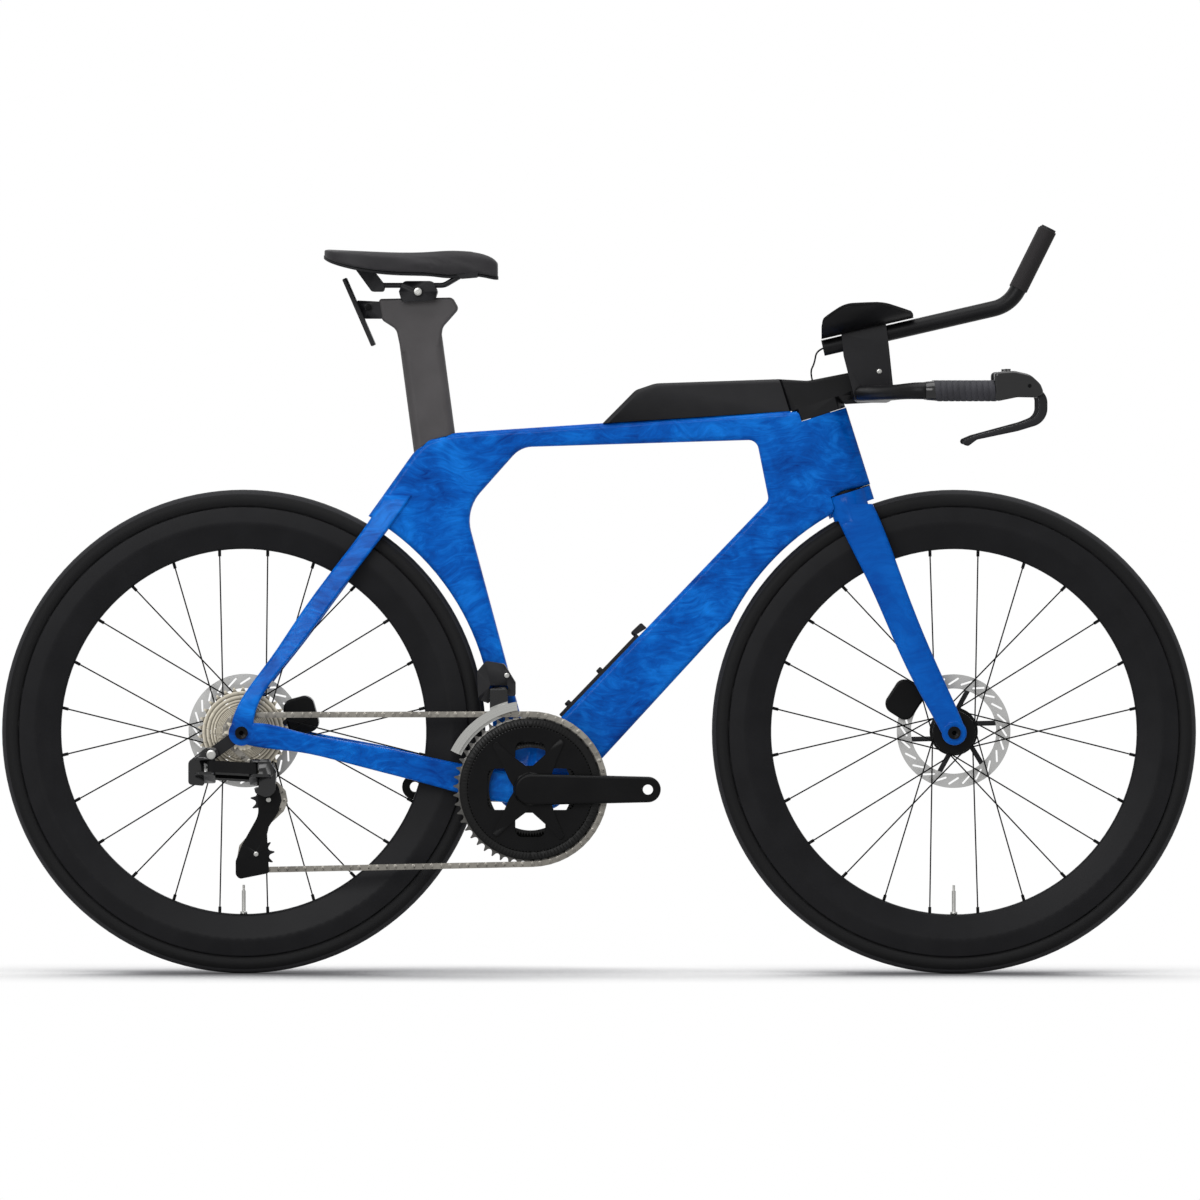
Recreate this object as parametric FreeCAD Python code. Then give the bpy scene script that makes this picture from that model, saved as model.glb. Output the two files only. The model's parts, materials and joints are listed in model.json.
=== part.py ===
import FreeCAD, Part
import math
import os

os.makedirs("parts", exist_ok=True)
Vec = FreeCAD.Vector

# Driving dimensions in mm and degrees, +X forward, +Y left, +Z up, floor at Z 0
wheelbase = 998.0
tyre_radius = 340.0
tyre_width = 28.0
rim_outer_radius = 315.5
rim_inner_radius = 256.5
rim_width = 29.0
spoke_count = 24
spoke_radius = 1.0
bottom_bracket_drop = 79.5
chainstay_reach = 404.0
head_angle = 72.5
fork_offset = 45.0
frame_tyre_gap = 10.5
frame_edge_radius = 8.0
head_lower = 367.0
head_upper = 480.0
head_nose = 37.5
steerer_radius = 14.3
steerer_top = 524
crown_radius = 32.0
steering_gap = 1.5
stem_turn_radius = 43.0
rear_hub_width = 142.0
front_hub_width = 100.0
axle_radius = 6.0
hub_end_radius = 11.0
running_gap = 0.05
part_gap = 0.3
dropout_thickness = 10.0
rotor_radius = 80.0
rotor_thickness = 1.8
track_width = 20.0
front_rotor_side = 37.0
rear_rotor_side = 55.0
pad_gap = 0.4
post_lean = 7.6
post_chord = 61.0
post_thickness = 26.0
post_gap = 0.3
post_insert = 92.0
post_pocket = 140.0
rail_radius = 3.5
rail_spacing = 44.0
crank_length = 165.0
chainring_teeth = 52
inner_ring_teeth = 36
cassette_teeth = (11, 12, 13, 14, 15, 16, 17, 19, 21, 24, 27, 30)
driven_sprocket = 1
pulley_teeth = 11
chain_pitch = 12.7
chainline = 49.5
ring_spacing = 7.0
sprocket_pitch = 3.4
sprocket_thickness = 1.5
driven_side = 53.0
spindle_radius = 12.0
pedal_hole_radius = 7.14
grip_side = 196.0
extension_side = 60.0
extension_radius = 11.1
extension_angle = 13.0
armrest_side = 72.0
wire_radius = 1.2
wire_bend = 6.0

# Places worked out from the driving dimensions
rear_axle_x = -wheelbase / 2
front_axle_x = wheelbase / 2
axle_z = tyre_radius
bracket_x = rear_axle_x + chainstay_reach
bracket_z = axle_z - bottom_bracket_drop
steer_sin = math.sin(math.radians(head_angle))
steer_cos = math.cos(math.radians(head_angle))
steer_up = Vec(-steer_cos, 0, steer_sin)
steer_ahead = Vec(steer_sin, 0, steer_cos)
steer_foot = Vec(front_axle_x, 0, axle_z) - steer_ahead * fork_offset
wheel_room = tyre_radius + frame_tyre_gap
post_up = Vec(-math.sin(math.radians(post_lean)), 0, math.cos(math.radians(post_lean)))
post_ahead = Vec(math.cos(math.radians(post_lean)), 0, math.sin(math.radians(post_lean)))
side_y = Vec(0, 1, 0)
steer_turn = FreeCAD.Rotation(side_y, head_angle - 90)


def save(name, shape):
    shape.exportStep("parts/" + name + ".step")


def head_point(up, ahead, y=0.0):
    return steer_foot + steer_up * up + steer_ahead * ahead + Vec(0, y, 0)


def rounded_wire(corners, place):
    # Corners are (a, b, radius); place turns a flat point into a space point
    count = len(corners)
    edges = []
    last = None
    first = None
    for i in range(count):
        a, b, radius = corners[i]
        pa, pb, _ = corners[i - 1]
        na, nb, _ = corners[(i + 1) % count]
        in_len = math.hypot(a - pa, b - pb)
        out_len = math.hypot(na - a, nb - b)
        in_dir = ((a - pa) / in_len, (b - pb) / in_len)
        out_dir = ((na - a) / out_len, (nb - b) / out_len)
        turn = in_dir[0] * out_dir[1] - in_dir[1] * out_dir[0]
        if radius == 0 or abs(turn) < 1e-6:
            entry = (a, b)
            leave = (a, b)
        else:
            angle = math.atan2(turn, in_dir[0] * out_dir[0] + in_dir[1] * out_dir[1])
            back = radius * math.tan(abs(angle) / 2)
            entry = (a - in_dir[0] * back, b - in_dir[1] * back)
            leave = (a + out_dir[0] * back, b + out_dir[1] * back)
        if last is not None:
            edges.append(Part.makeLine(place(*last), place(*entry)))
        else:
            first = entry
        if entry != leave:
            mid = (out_dir[0] - in_dir[0], out_dir[1] - in_dir[1])
            mid_len = math.hypot(*mid)
            reach = radius / math.cos(abs(angle) / 2) - radius
            top = (a + mid[0] / mid_len * reach, b + mid[1] / mid_len * reach)
            edges.append(Part.Arc(place(*entry), place(*top), place(*leave)).toShape())
        last = leave
    edges.append(Part.makeLine(place(*last), place(*first)))
    return Part.Wire(edges)


def side_plate(corners, y_low, y_high):
    wire = rounded_wire(corners, lambda a, b: Vec(a, y_low, b))
    return Part.Face(wire).extrude(Vec(0, y_high - y_low, 0))


def rounded_section(centre, wide, tall, width, height, radius):
    half_w = width / 2
    half_h = height / 2
    corners = [
        (-half_w, -half_h, radius),
        (half_w, -half_h, radius),
        (half_w, half_h, radius),
        (-half_w, half_h, radius),
    ]
    return rounded_wire(corners, lambda a, b: centre + wide * a + tall * b)


def cylinder(radius, start, direction, length):
    return Part.makeCylinder(radius, length, start, direction)


def ring(outer, inner, start, direction, length):
    return cylinder(outer, start, direction, length).cut(cylinder(inner, start, direction, length))


def across(radius, x, z, y_low, y_high):
    return cylinder(radius, Vec(x, y_low, z), side_y, y_high - y_low)


def across_ring(outer, inner, x, z, y_low, y_high):
    return across(outer, x, z, y_low, y_high).cut(across(inner, x, z, y_low, y_high))


def mirrored(shape):
    return shape.mirror(Vec(0, 0, 0), side_y)


def turned(corners, x, z):
    # Corners are (distance from the axle, y, radius), turned round the axle
    wire = rounded_wire(corners, lambda a, b: Vec(x, b, z + a))
    return Part.Face(wire).revolve(Vec(x, 0, z), side_y, 360)


def fillet_edges(shape, radius, wanted):
    return shape.makeFillet(radius, [edge for edge in shape.Edges if wanted(edge)])


def middle(edge):
    return edge.valueAt((edge.FirstParameter + edge.LastParameter) / 2)


def side_wall(start, stop):
    # A face across the whole width, seen from the side as a line
    edge = Part.makeLine(Vec(start[0], -260, start[1]), Vec(stop[0], -260, stop[1]))
    return edge.extrude(Vec(0, 520, 0))


def split_by(shape, walls):
    pieces, _ = shape.generalFuse(walls)
    return Part.makeCompound(pieces.Solids)


# Frame
top_rear = (-260.0, 732.0)
collar_mid = (-238.0, 751.0)
top_front_of_post = (-201.0, 760.0)
top_tube_slope = 0.0655
lower_turn = (167.0, 479.0)
post_foot = Vec(-230.5, 0, 745.0)


def frame_plate():
    nose_top = head_point(head_upper + 12, head_nose)
    rear_of_head = head_point(head_upper, -36)
    top_front_z = top_front_of_post[1] + (rear_of_head.x - top_front_of_post[0]) * top_tube_slope
    nose_low = head_point(head_lower, head_nose)
    crown_in = head_point(head_lower, -10)
    skirt = head_point(head_lower - 34, -10)
    outline = [
        (top_rear[0], top_rear[1], 60),
        (collar_mid[0], collar_mid[1], 25),
        (top_front_of_post[0], top_front_of_post[1], 60),
        (rear_of_head.x, top_front_z, 100),
        (nose_top.x, nose_top.z, 0),
        (nose_low.x, nose_low.z, 0),
        (crown_in.x, crown_in.z, 0),
        (skirt.x, skirt.z, 0),
        (lower_turn[0], lower_turn[1], 0),
        (bracket_x + 34, bracket_z - 30, 26),
        (bracket_x - 36, bracket_z - 28, 22),
        (bracket_x - 88, bracket_z + 60, 0),
        (-215.0, 450.0, 0),
        (-290.0, 560.0, 0),
        (-331.0, 632.0, 0),
    ]
    window = [
        (222.0, 750.0, 14),
        (239.0, 665.0, 12),
        (-96.7, 314.0, 14),
        (-187.5, 652.0, 60),
        (-109.6, 739.7, 38),
    ]
    plate = side_plate(outline, -60, 60).cut(side_plate(window, -60, 60))
    stations = [(60, 6), (37.5, 14), (24, 21.5), (4, 25.5), (-30, 26), (-80, 23.5), (-150, 21)]
    stations += [(-300, 19), (-470, 17.5), (-560, 17.5), (-605, 20), (-645, 25.5), (-700, 34)]
    low = head_point(-700, 0)
    rising = steer_up * 1700
    left_side = Part.BSplineCurve()
    left_side.interpolate([low + steer_ahead * ahead + Vec(0, half, 0) for ahead, half in stations])
    right_side = Part.BSplineCurve()
    right_side.interpolate([low + steer_ahead * ahead - Vec(0, half, 0) for ahead, half in stations])
    left_edge = left_side.toShape()
    right_edge = right_side.toShape()
    front_edge = Part.makeLine(left_side.StartPoint, right_side.StartPoint)
    rear_edge = Part.makeLine(right_side.EndPoint, left_side.EndPoint)
    plan = Part.Face(Part.Wire([left_edge, rear_edge, right_edge, front_edge])).extrude(rising)
    plate = plate.common(plan)
    plate = plate.cut(across(wheel_room, front_axle_x, axle_z, -80, 80))
    plate = plate.cut(across(wheel_room, rear_axle_x, axle_z, -80, 80))
    # Side edges are rounded; edges straight across the frame are left
    return fillet_edges(plate, frame_edge_radius, lambda edge: abs(middle(edge).y) > 12)


def stay(sections):
    wires = []
    for centre, wide, tall, width, height, radius in sections:
        wires.append(rounded_section(centre, wide, tall, width, height, radius))
    return Part.makeLoft(wires, True, False)


def chainstay():
    rows = [
        (bracket_x - 8, 22.0, 262.0, 46.0, 20.0),
        (bracket_x - 55, 27.5, 266.0, 44.0, 14.0),
        (bracket_x - 105, 29.5, 276.5, 41.0, 14.5),
        (bracket_x - 153, 37.0, 288.5, 38.0, 15.0),
        (bracket_x - 208, 47.0, 301.6, 35.0, 14.0),
        (bracket_x - 264, 57.0, 314.0, 30.0, 13.0),
        (bracket_x - 319, 68.0, 326.0, 28.0, 12.0),
        (rear_axle_x + 8, 76.0, 338.0, 30.0, 10.0),
    ]
    upward = Vec(0, 0, 1)
    return stay([(Vec(x, y, z), side_y, upward, t, h, 4.5) for x, y, z, h, t in rows])


def seatstay():
    rows = [
        (672.0, -302.0, -262.0, 15.0, 16.0),
        (612.0, -339.0, -305.0, 27.0, 13.0),
        (528.5, -402.0, -368.0, 44.0, 13.0),
        (486.0, -431.0, -399.0, 53.0, 12.5),
        (428.0, -471.0, -444.5, 66.0, 12.0),
        (388.0, -499.0, -472.0, 73.0, 11.0),
        (345.0, -514.0, -482.0, 76.0, 10.0),
    ]
    forward = Vec(1, 0, 0)
    sections = []
    for z, rear, front, y, thick in rows:
        centre = Vec((rear + front) / 2, y, z)
        sections.append((centre, forward, side_y, front - rear, thick, 4.5))
    return stay(sections)


def stadium(centre, ahead, length, thickness):
    return rounded_section(centre, ahead, side_y, length, thickness, thickness / 2 - 0.5)


def build_frame():
    shape = frame_plate()
    inner = rear_hub_width / 2
    half = []
    half.append(chainstay())
    half.append(seatstay())
    half.append(across(18, rear_axle_x, axle_z, inner, inner + dropout_thickness))
    for piece in half:
        shape = shape.fuse([piece, mirrored(piece)])
    shape = shape.fuse(across(30, bracket_x, bracket_z, -36, 36))
    # Shapes that open the frame for the post, the stem, the crown, the bearings and the axle
    pocket_chord = post_chord + 2 * post_gap
    pocket_thickness = post_thickness + 2 * post_gap
    pocket_foot = stadium(post_foot - post_up * post_pocket, post_ahead, pocket_chord, pocket_thickness)
    tools = [Part.Face(pocket_foot).extrude(post_up * (post_pocket + 60))]
    tools.append(cylinder(head_nose + 0.7, head_point(head_upper, 0), steer_up, 80))
    stem_room = stem_turn_radius + steering_gap
    tools.append(cylinder(stem_room, head_point(497, 0), steer_up, 80))
    nose_clear = Part.makeBox(60, 80, 60, Vec(0, -40, 0))
    nose_clear.Placement = FreeCAD.Placement(head_point(head_upper, 0), steer_turn)
    tools.append(nose_clear)
    tools.append(cylinder(crown_radius + steering_gap, head_point(head_lower - 60, 0), steer_up, 60))
    tools.append(cylinder(18, head_point(head_lower - 10, 0), steer_up, 140))
    tools.append(cylinder(23, head_point(head_lower, 0), steer_up, 9))
    tools.append(cylinder(21, head_point(head_upper - 9, 0), steer_up, 20))
    tools.append(across(21, bracket_x, bracket_z, -60, 60))
    tools.append(across(axle_radius, rear_axle_x, axle_z, -100, 100))
    for tool in tools:
        shape = shape.cut(tool)
    return shape


frame = build_frame()


def tube_walls():
    # Faces that part the shell into its tubes, each close to straight
    walls = []
    for angle in (131, 143, 155):
        turn = math.radians(angle)
        ends = []
        for reach in (tyre_radius, 452.0):
            ends.append((front_axle_x + reach * math.cos(turn), axle_z + reach * math.sin(turn)))
        walls.append(side_wall(*ends))
    for x in (180, -60):
        walls.append(side_wall((x, 715), (x, 810)))
    walls.append(side_wall((-370, 600), (-60, 600)))
    walls.append(side_wall((-205, 420), (-60, 420)))
    walls.append(side_wall((-530, 430), (-400, 430)))
    for x in (-166, -330):
        walls.append(side_wall((x, 200), (x, 345)))
    return walls


save("frame", split_by(frame, tube_walls()))


def build_bearings():
    upper = ring(21, steerer_radius + running_gap, head_point(head_upper - 9, 0), steer_up, 8.7)
    lower = ring(23, 17 + running_gap, head_point(head_lower, 0), steer_up, 9)
    cups = []
    for side in (-1, 1):
        near, far = sorted((side * 26, side * 40))
        lip_near, lip_far = sorted((side * 36, side * 40))
        cup = across(21, bracket_x, bracket_z, near, far)
        cup = cup.fuse(across(24, bracket_x, bracket_z, lip_near, lip_far))
        cups.append(cup.cut(across(spindle_radius + running_gap, bracket_x, bracket_z, -60, 60)))
    return Part.makeCompound([upper, lower] + cups)


save("frame_bearings", build_bearings())

# Fork, with the front wheel's axle
fork_rows = [
    (660.0, 328.0, 385.0, 25.0, 14.0),
    (606.0, 351.0, 408.0, 29.0, 14.5),
    (519.0, 393.0, 440.0, 37.0, 14.0),
    (425.0, 435.0, 479.5, 46.0, 13.0),
    (380.0, 459.0, 500.0, 51.5, 12.5),
    (340.0, 481.0, 517.0, 56.0, 12.0),
]


def build_fork():
    forward = Vec(1, 0, 0)
    sections = []
    for z, rear, front, y, thick in fork_rows:
        sections.append((Vec((rear + front) / 2, y, z), forward, side_y, front - rear, thick, 5.5))
    leg = stay(sections)
    inner = front_hub_width / 2
    foot = across(17.5, front_axle_x, axle_z, inner, inner + 12)
    foot = fillet_edges(foot, 4, lambda edge: middle(edge).y > inner + 11.9)
    # The crown is round about the steering axis so it can turn inside the frame
    top = head_lower - steering_gap
    plan = [
        (-crown_radius * 0.2, -crown_radius, 12),
        (head_nose - 1, -13, 9),
        (head_nose - 1, 13, 9),
        (-crown_radius * 0.2, crown_radius, 12),
    ]
    low = head_point(top - 34, 0)
    nose = Part.Face(rounded_wire(plan, lambda a, b: low + steer_ahead * a + Vec(0, b, 0)))
    crown = nose.extrude(steer_up * 34).fuse(cylinder(crown_radius, low, steer_up, 34))
    crown = crown.cut(across(tyre_radius + 6, front_axle_x, axle_z, -18, 18))
    shape = crown.fuse([leg, mirrored(leg), foot, mirrored(foot)])
    block = Part.makeBox(80, 140, 60, Vec(-80, -70, 0))
    block.Placement = FreeCAD.Placement(head_point(top - 40, 0), steer_turn)
    outside = block.cut(cylinder(crown_radius, head_point(top - 50, 0), steer_up, 90))
    shape = shape.cut(outside)
    above = Part.makeBox(140, 140, 60, Vec(-70, -70, 0))
    above.Placement = FreeCAD.Placement(head_point(top, 0), steer_turn)
    shape = shape.cut(above)
    shape = shape.fuse(cylinder(17, head_point(top - 4, 0), steer_up, 14))
    shape = shape.fuse(cylinder(steerer_radius, head_point(top - 4, 0), steer_up, steerer_top + 4 - top))
    hub_room = across(hub_end_radius + 1, front_axle_x, axle_z, -inner, inner)
    return shape.cut(hub_room).cut(across(axle_radius, front_axle_x, axle_z, -100, 100))


fork = build_fork()
save("fork", fork)


def build_axle(x, width, cap):
    reach = width / 2 + cap
    shaft = across(axle_radius, x, axle_z, -reach, reach)
    head_right = across(9, x, axle_z, -reach - 4, -reach)
    head_left = across(9, x, axle_z, reach, reach + 4)
    socket = []
    for turn in range(6):
        angle = math.radians(60 * turn)
        socket.append(Vec(x + 3.5 * math.cos(angle), -reach - 5, axle_z + 3.5 * math.sin(angle)))
    socket.append(socket[0])
    hexagon = Part.Face(Part.makePolygon(socket)).extrude(Vec(0, 6, 0))
    return shaft.fuse([head_right, head_left]).cut(hexagon)


save("front_axle", build_axle(front_axle_x, front_hub_width, 12))
save("rear_axle", build_axle(rear_axle_x, rear_hub_width, dropout_thickness))

# Wheels
bed_radius = rim_outer_radius - 6.5
nipple_out = rim_inner_radius - 8
nipple_radius = 2.2
valve_radius = 2.8
valve_angle = 180.0


def build_tyre(x):
    half = tyre_width / 2
    bead = 10.3
    wall = 2.6
    crest = rim_outer_radius + part_gap
    centre = tyre_radius - half
    spread = math.sqrt(half * half - (centre - crest) ** 2)
    inner_spread = math.sqrt((half - wall) ** 2 - (centre - crest) ** 2)

    def place(a, b):
        return Vec(x, b, axle_z + a)

    outer = Part.Arc(place(crest, -spread), place(tyre_radius, 0), place(crest, spread)).toShape()
    lip = inner_spread - 2
    inner = Part.Arc(place(crest, lip), place(tyre_radius - wall, 0), place(crest, -lip))
    edges = [outer]
    left = [(crest, spread), (crest, bead), (bed_radius, bead), (bed_radius, bead - 4), (crest, lip)]
    right = [(a, -b) for a, b in reversed(left)]
    for chain_of_points in (left, right):
        for start, stop in zip(chain_of_points, chain_of_points[1:]):
            edges.append(Part.makeLine(place(*start), place(*stop)))
    edges.append(inner.toShape())
    wire = Part.Wire(Part.__sortEdges__(edges))
    return Part.Face(wire).revolve(Vec(x, 0, axle_z), side_y, 360)


def spoke_ends(x, index, left_flange, right_flange):
    rim_angle = (index + 0.5) * 360.0 / spoke_count
    on_left = index % 2 == 0
    flange, flange_y = left_flange if on_left else right_flange
    sense = 1 if (index // 2) % 2 == 0 else -1
    hub_angle = rim_angle + sense * 74.0
    lift = 1.6 * (1 if on_left else -1) * (1 if sense > 0 else -1)

    def at(radius, angle, y):
        turn = math.radians(angle)
        return Vec(x + radius * math.sin(turn), y, axle_z + radius * math.cos(turn))

    rim_y = 1.5 if on_left else -1.5
    return at(flange, hub_angle, flange_y + lift), at(rim_inner_radius + 3, rim_angle, rim_y)


def build_rim(x, ends):
    half = rim_width / 2
    corners = [
        (rim_inner_radius, -5.5, 5),
        (rim_inner_radius, 5.5, 5),
        (rim_inner_radius + 36, half, 25),
        (rim_outer_radius, half - 1.5, 1),
        (rim_outer_radius, 10.5, 0.5),
        (bed_radius, 10.5, 0),
        (bed_radius, -10.5, 0),
        (rim_outer_radius, -10.5, 0.5),
        (rim_outer_radius, 1.5 - half, 1),
        (rim_inner_radius + 36, -half, 25),
    ]
    shape = turned(corners, x, axle_z)
    holes = []
    for hub_end, rim_end in ends:
        along = (rim_end - hub_end).normalize()
        holes.append(cylinder(nipple_radius, rim_end - along * 12, along, 16))
    turn = math.radians(valve_angle)
    out = Vec(math.sin(turn), 0, math.cos(turn))
    holes.append(cylinder(valve_radius, Vec(x, 0, axle_z) + out * (rim_inner_radius - 10), out, 80))
    return shape.cut(Part.makeCompound(holes))


def build_spokes(ends):
    pieces = []
    for hub_end, rim_end in ends:
        along = (rim_end - hub_end).normalize()
        wire_length = (rim_end - hub_end).Length
        wire = cylinder(spoke_radius, hub_end, along, wire_length)
        nipple = cylinder(nipple_radius, rim_end - along * 11, along, 15)
        pieces.append(wire.fuse(nipple))
    return Part.makeCompound(pieces)


def build_valve(x):
    turn = math.radians(valve_angle)
    out = Vec(math.sin(turn), 0, math.cos(turn))
    centre = Vec(x, 0, axle_z)
    stem_start = rim_inner_radius - 33
    body = cylinder(valve_radius, centre + out * stem_start, out, bed_radius - stem_start)
    cap = cylinder(1.8, centre + out * (stem_start - 8), out, 9)
    nut = cylinder(5, centre + out * (rim_inner_radius - 3.5), out, 3.5)
    return body.fuse([cap, nut])


def build_rotor(x, side, bore):
    low = side - rotor_thickness / 2
    high = side + rotor_thickness / 2
    track_inner = rotor_radius - track_width
    track = across_ring(rotor_radius, track_inner, x, axle_z, low, high)
    slots = []
    for index in range(24):
        turn = math.radians(15 * index)
        away = Vec(math.sin(turn), 0, math.cos(turn))
        lean = Vec(math.sin(turn + 1.0), 0, math.cos(turn + 1.0))
        spot = Vec(x, low - 1, axle_z) + away * (rotor_radius - track_width / 2)
        slot = rounded_section(spot, lean, lean.cross(side_y), 17, 2.6, 1.2)
        slots.append(Part.Face(slot).extrude(Vec(0, rotor_thickness + 2, 0)))
    track = track.cut(Part.makeCompound(slots))
    arms = []
    for index in range(6):
        turn = math.radians(60 * index)
        away = Vec(math.sin(turn), 0, math.cos(turn))
        lean = Vec(math.sin(turn + 0.5), 0, math.cos(turn + 0.5))
        start = Vec(x, low, axle_z) + away * (bore + 4)
        arm = rounded_section(start + lean * 20, lean, lean.cross(side_y), 48, 7, 2)
        arms.append(Part.Face(arm).extrude(Vec(0, rotor_thickness, 0)))
    core = across_ring(bore + 11, bore, x, axle_z, low - 1.5, high + 1.5)
    spider = core.fuse(arms).common(across(track_inner, x, axle_z, low - 5, high + 5))
    spider = spider.cut(across(bore, x, axle_z, low - 5, high + 5))
    return Part.makeCompound([track, spider])


def build_hub(x, left_flange, right_flange, left_end, right_end, rotor_side, rotor_bore):
    left_radius, left_y = left_flange
    right_radius, right_y = right_flange
    corners = [
        (7, -right_end, 0),
        (hub_end_radius, -right_end, 1),
        (hub_end_radius, right_y - 4.1, 0),
        (right_radius + 4, right_y - 4, 1),
        (right_radius + 4, right_y + 4, 1),
        (14, right_y + 8, 6),
        (14, left_y - 8, 6),
        (left_radius + 4, left_y - 4, 1),
        (left_radius + 4, left_y + 4, 1),
        (rotor_bore, left_y + 8, 3),
        (rotor_bore, rotor_side + 4, 0.5),
        (hub_end_radius, rotor_side + 4, 0),
        (hub_end_radius, left_end, 1),
        (7, left_end, 0),
    ]
    shell = turned(corners, x, axle_z)
    seat_right = across(10, x, axle_z, -right_end, -right_end + 8)
    seat_left = across(10, x, axle_z, left_end - 8, left_end)
    shell = shell.cut(seat_right.fuse(seat_left))
    bearing_right = across_ring(10, axle_radius + running_gap, x, axle_z, -right_end, -right_end + 8)
    bearing_left = across_ring(10, axle_radius + running_gap, x, axle_z, left_end - 8, left_end)
    return shell, [bearing_right, bearing_left]


def build_wheel(name, x, left_flange, right_flange, left_end, right_end, rotor_side):
    rotor_bore = 17.0
    ends = [spoke_ends(x, index, left_flange, right_flange) for index in range(spoke_count)]
    save(name + "_tyre", build_tyre(x))
    save(name + "_rim", build_rim(x, ends))
    spokes = build_spokes(ends)
    save(name + "_spokes", spokes)
    save(name + "_valve", build_valve(x))
    save(name + "_rotor", build_rotor(x, rotor_side, rotor_bore))
    shell, bearings = build_hub(x, left_flange, right_flange, left_end, right_end, rotor_side, rotor_bore)
    shell = shell.cut(spokes)
    save(name + "_hub", Part.makeCompound([shell] + bearings))


front_end = front_hub_width / 2 - part_gap
rear_left_end = rear_hub_width / 2 - part_gap
build_wheel("front", front_axle_x, (30.0, 22.0), (26.0, -32.0), front_end, front_end, front_rotor_side)
build_wheel("rear", rear_axle_x, (30.0, 32.0), (28.0, -13.5), rear_left_end, 17.7, rear_rotor_side)


def rounded_path(points, bend):
    edges = []
    last = points[0]
    for before, corner, after in zip(points, points[1:], points[2:]):
        into = (corner - before).normalize()
        out = (after - corner).normalize()
        angle = into.getAngle(out)
        back = bend * math.tan(angle / 2)
        entry = corner - into * back
        leave = corner + out * back
        reach = bend / math.cos(angle / 2) - bend
        top = corner + (out - into).normalize() * reach
        edges.append(Part.makeLine(last, entry))
        edges.append(Part.Arc(entry, top, leave).toShape())
        last = leave
    edges.append(Part.makeLine(last, points[-1]))
    return Part.Wire(edges)


def pipe(points, bend, radius):
    path = rounded_path(points, bend)
    circle = Part.Wire(Part.makeCircle(radius, points[0], (points[1] - points[0]).normalize()))
    return path.makePipeShell([circle], True, False)


# Seatpost, rear bracket, clamp
post_rise = 215.0


def build_seatpost():
    foot = stadium(post_foot - post_up * post_insert, post_ahead, post_chord, post_thickness)
    post = Part.Face(foot).extrude(post_up * (post_insert + post_rise))
    corners = [
        (-309, 948, 4),
        (-205, 950, 8),
        (-196, 934, 8),
        (-219, 908, 14),
        (-223, 880, 0),
        (-277, 872, 0),
        (-284, 905, 14),
        (-304, 918, 8),
    ]
    half = post_thickness / 2
    head = side_plate(corners, -half, half)
    head = fillet_edges(head, 4, lambda edge: abs(middle(edge).y) > half - 0.1)
    above = side_plate([(-330, 947.6, 0), (-180, 950.5, 0), (-180, 1000, 0), (-330, 1000, 0)], -30, 30)
    return post.cut(above).fuse(head)


seatpost = build_seatpost()
save("seatpost", seatpost)


def build_bracket():
    outline = [(-360, 975, 1.5), (-354, 978, 1.5), (-313, 884, 1.5), (-319, 881, 1.5)]
    plate = side_plate(outline, -17, 17)
    arm = side_plate([(-342, 946, 3), (-302, 944, 0), (-302, 920, 0), (-329, 920, 3)], -11, 11)
    shape = plate.fuse(arm).cut(seatpost)
    lean = Vec(-60, 0, -26).normalize()
    holes = []
    for drop in (24, 78):
        spot = Vec(-357, 0, 976.5) + Vec(41, 0, -94).normalize() * drop
        holes.append(cylinder(2.5, spot - lean * 14, lean, 34))
    bolt_room = across(2.6, -323, 936, -20, 20)
    shape = shape.cut(Part.makeCompound(holes + [bolt_room]))
    bolt = across(2.6, -323, 936, -11, 11).fuse(across(5, -323, 936, -15, -11))
    return Part.makeCompound([shape, bolt])


save("rear_bracket", build_bracket())

rail_z = 967.0


def rail(side):
    y = side * rail_spacing / 2
    points = [(-338, 993), (-308, rail_z), (-217, rail_z), (-178, 990)]
    return pipe([Vec(a, y, b) for a, b in points], 18, rail_radius)


def build_clamp():
    corners = [
        (-276, 944, 3),
        (-230, 946, 3),
        (-226, 958, 4),
        (-232, 973, 8),
        (-274, 973, 8),
        (-280, 958, 4),
    ]
    cradle = side_plate(corners, -29, 29).cut(seatpost)
    for side in (-1, 1):
        start = Vec(-300, side * rail_spacing / 2, rail_z)
        cradle = cradle.cut(cylinder(rail_radius + running_gap, start, Vec(1, 0, 0), 100))
    cradle = cradle.cut(across(4, -253, 958, -40, 40))
    bolt = across(4, -253, 958, -31, 31)
    bolt = bolt.fuse([across(6.5, -253, 958, -35, -29), across(6.5, -253, 958, 29, 33)])
    return Part.makeCompound([cradle, bolt])


save("saddle_clamp", build_clamp())

# Saddle
saddle_rows = [
    (-385, 1009, 1018, 74, 4),
    (-364, 999, 1016.5, 124, 7),
    (-322, 990, 1014.5, 134, 9),
    (-275, 986, 1013.0, 112, 10),
    (-230, 984, 1014.5, 80, 11),
    (-190, 983.5, 1015.5, 62, 11),
    (-162, 983, 1012.5, 54, 10),
    (-147, 980, 1006.5, 44, 8),
    (-141, 980, 1000.0, 34, 5),
]


def saddle_loft(drop, rise, trim):
    wires = []
    for x, low, high, width, round_top in saddle_rows:
        half = width / 2 - trim
        base = low - drop
        top = high if rise is None else low + rise
        big = round_top if rise is None else 2
        corners = [(-half, base, 2), (half, base, 2), (half - 3, top, big), (3 - half, top, big)]
        wires.append(rounded_wire(corners, lambda a, b, x=x: Vec(x, a, b)))
    return Part.makeLoft(wires, True, False)


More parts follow.
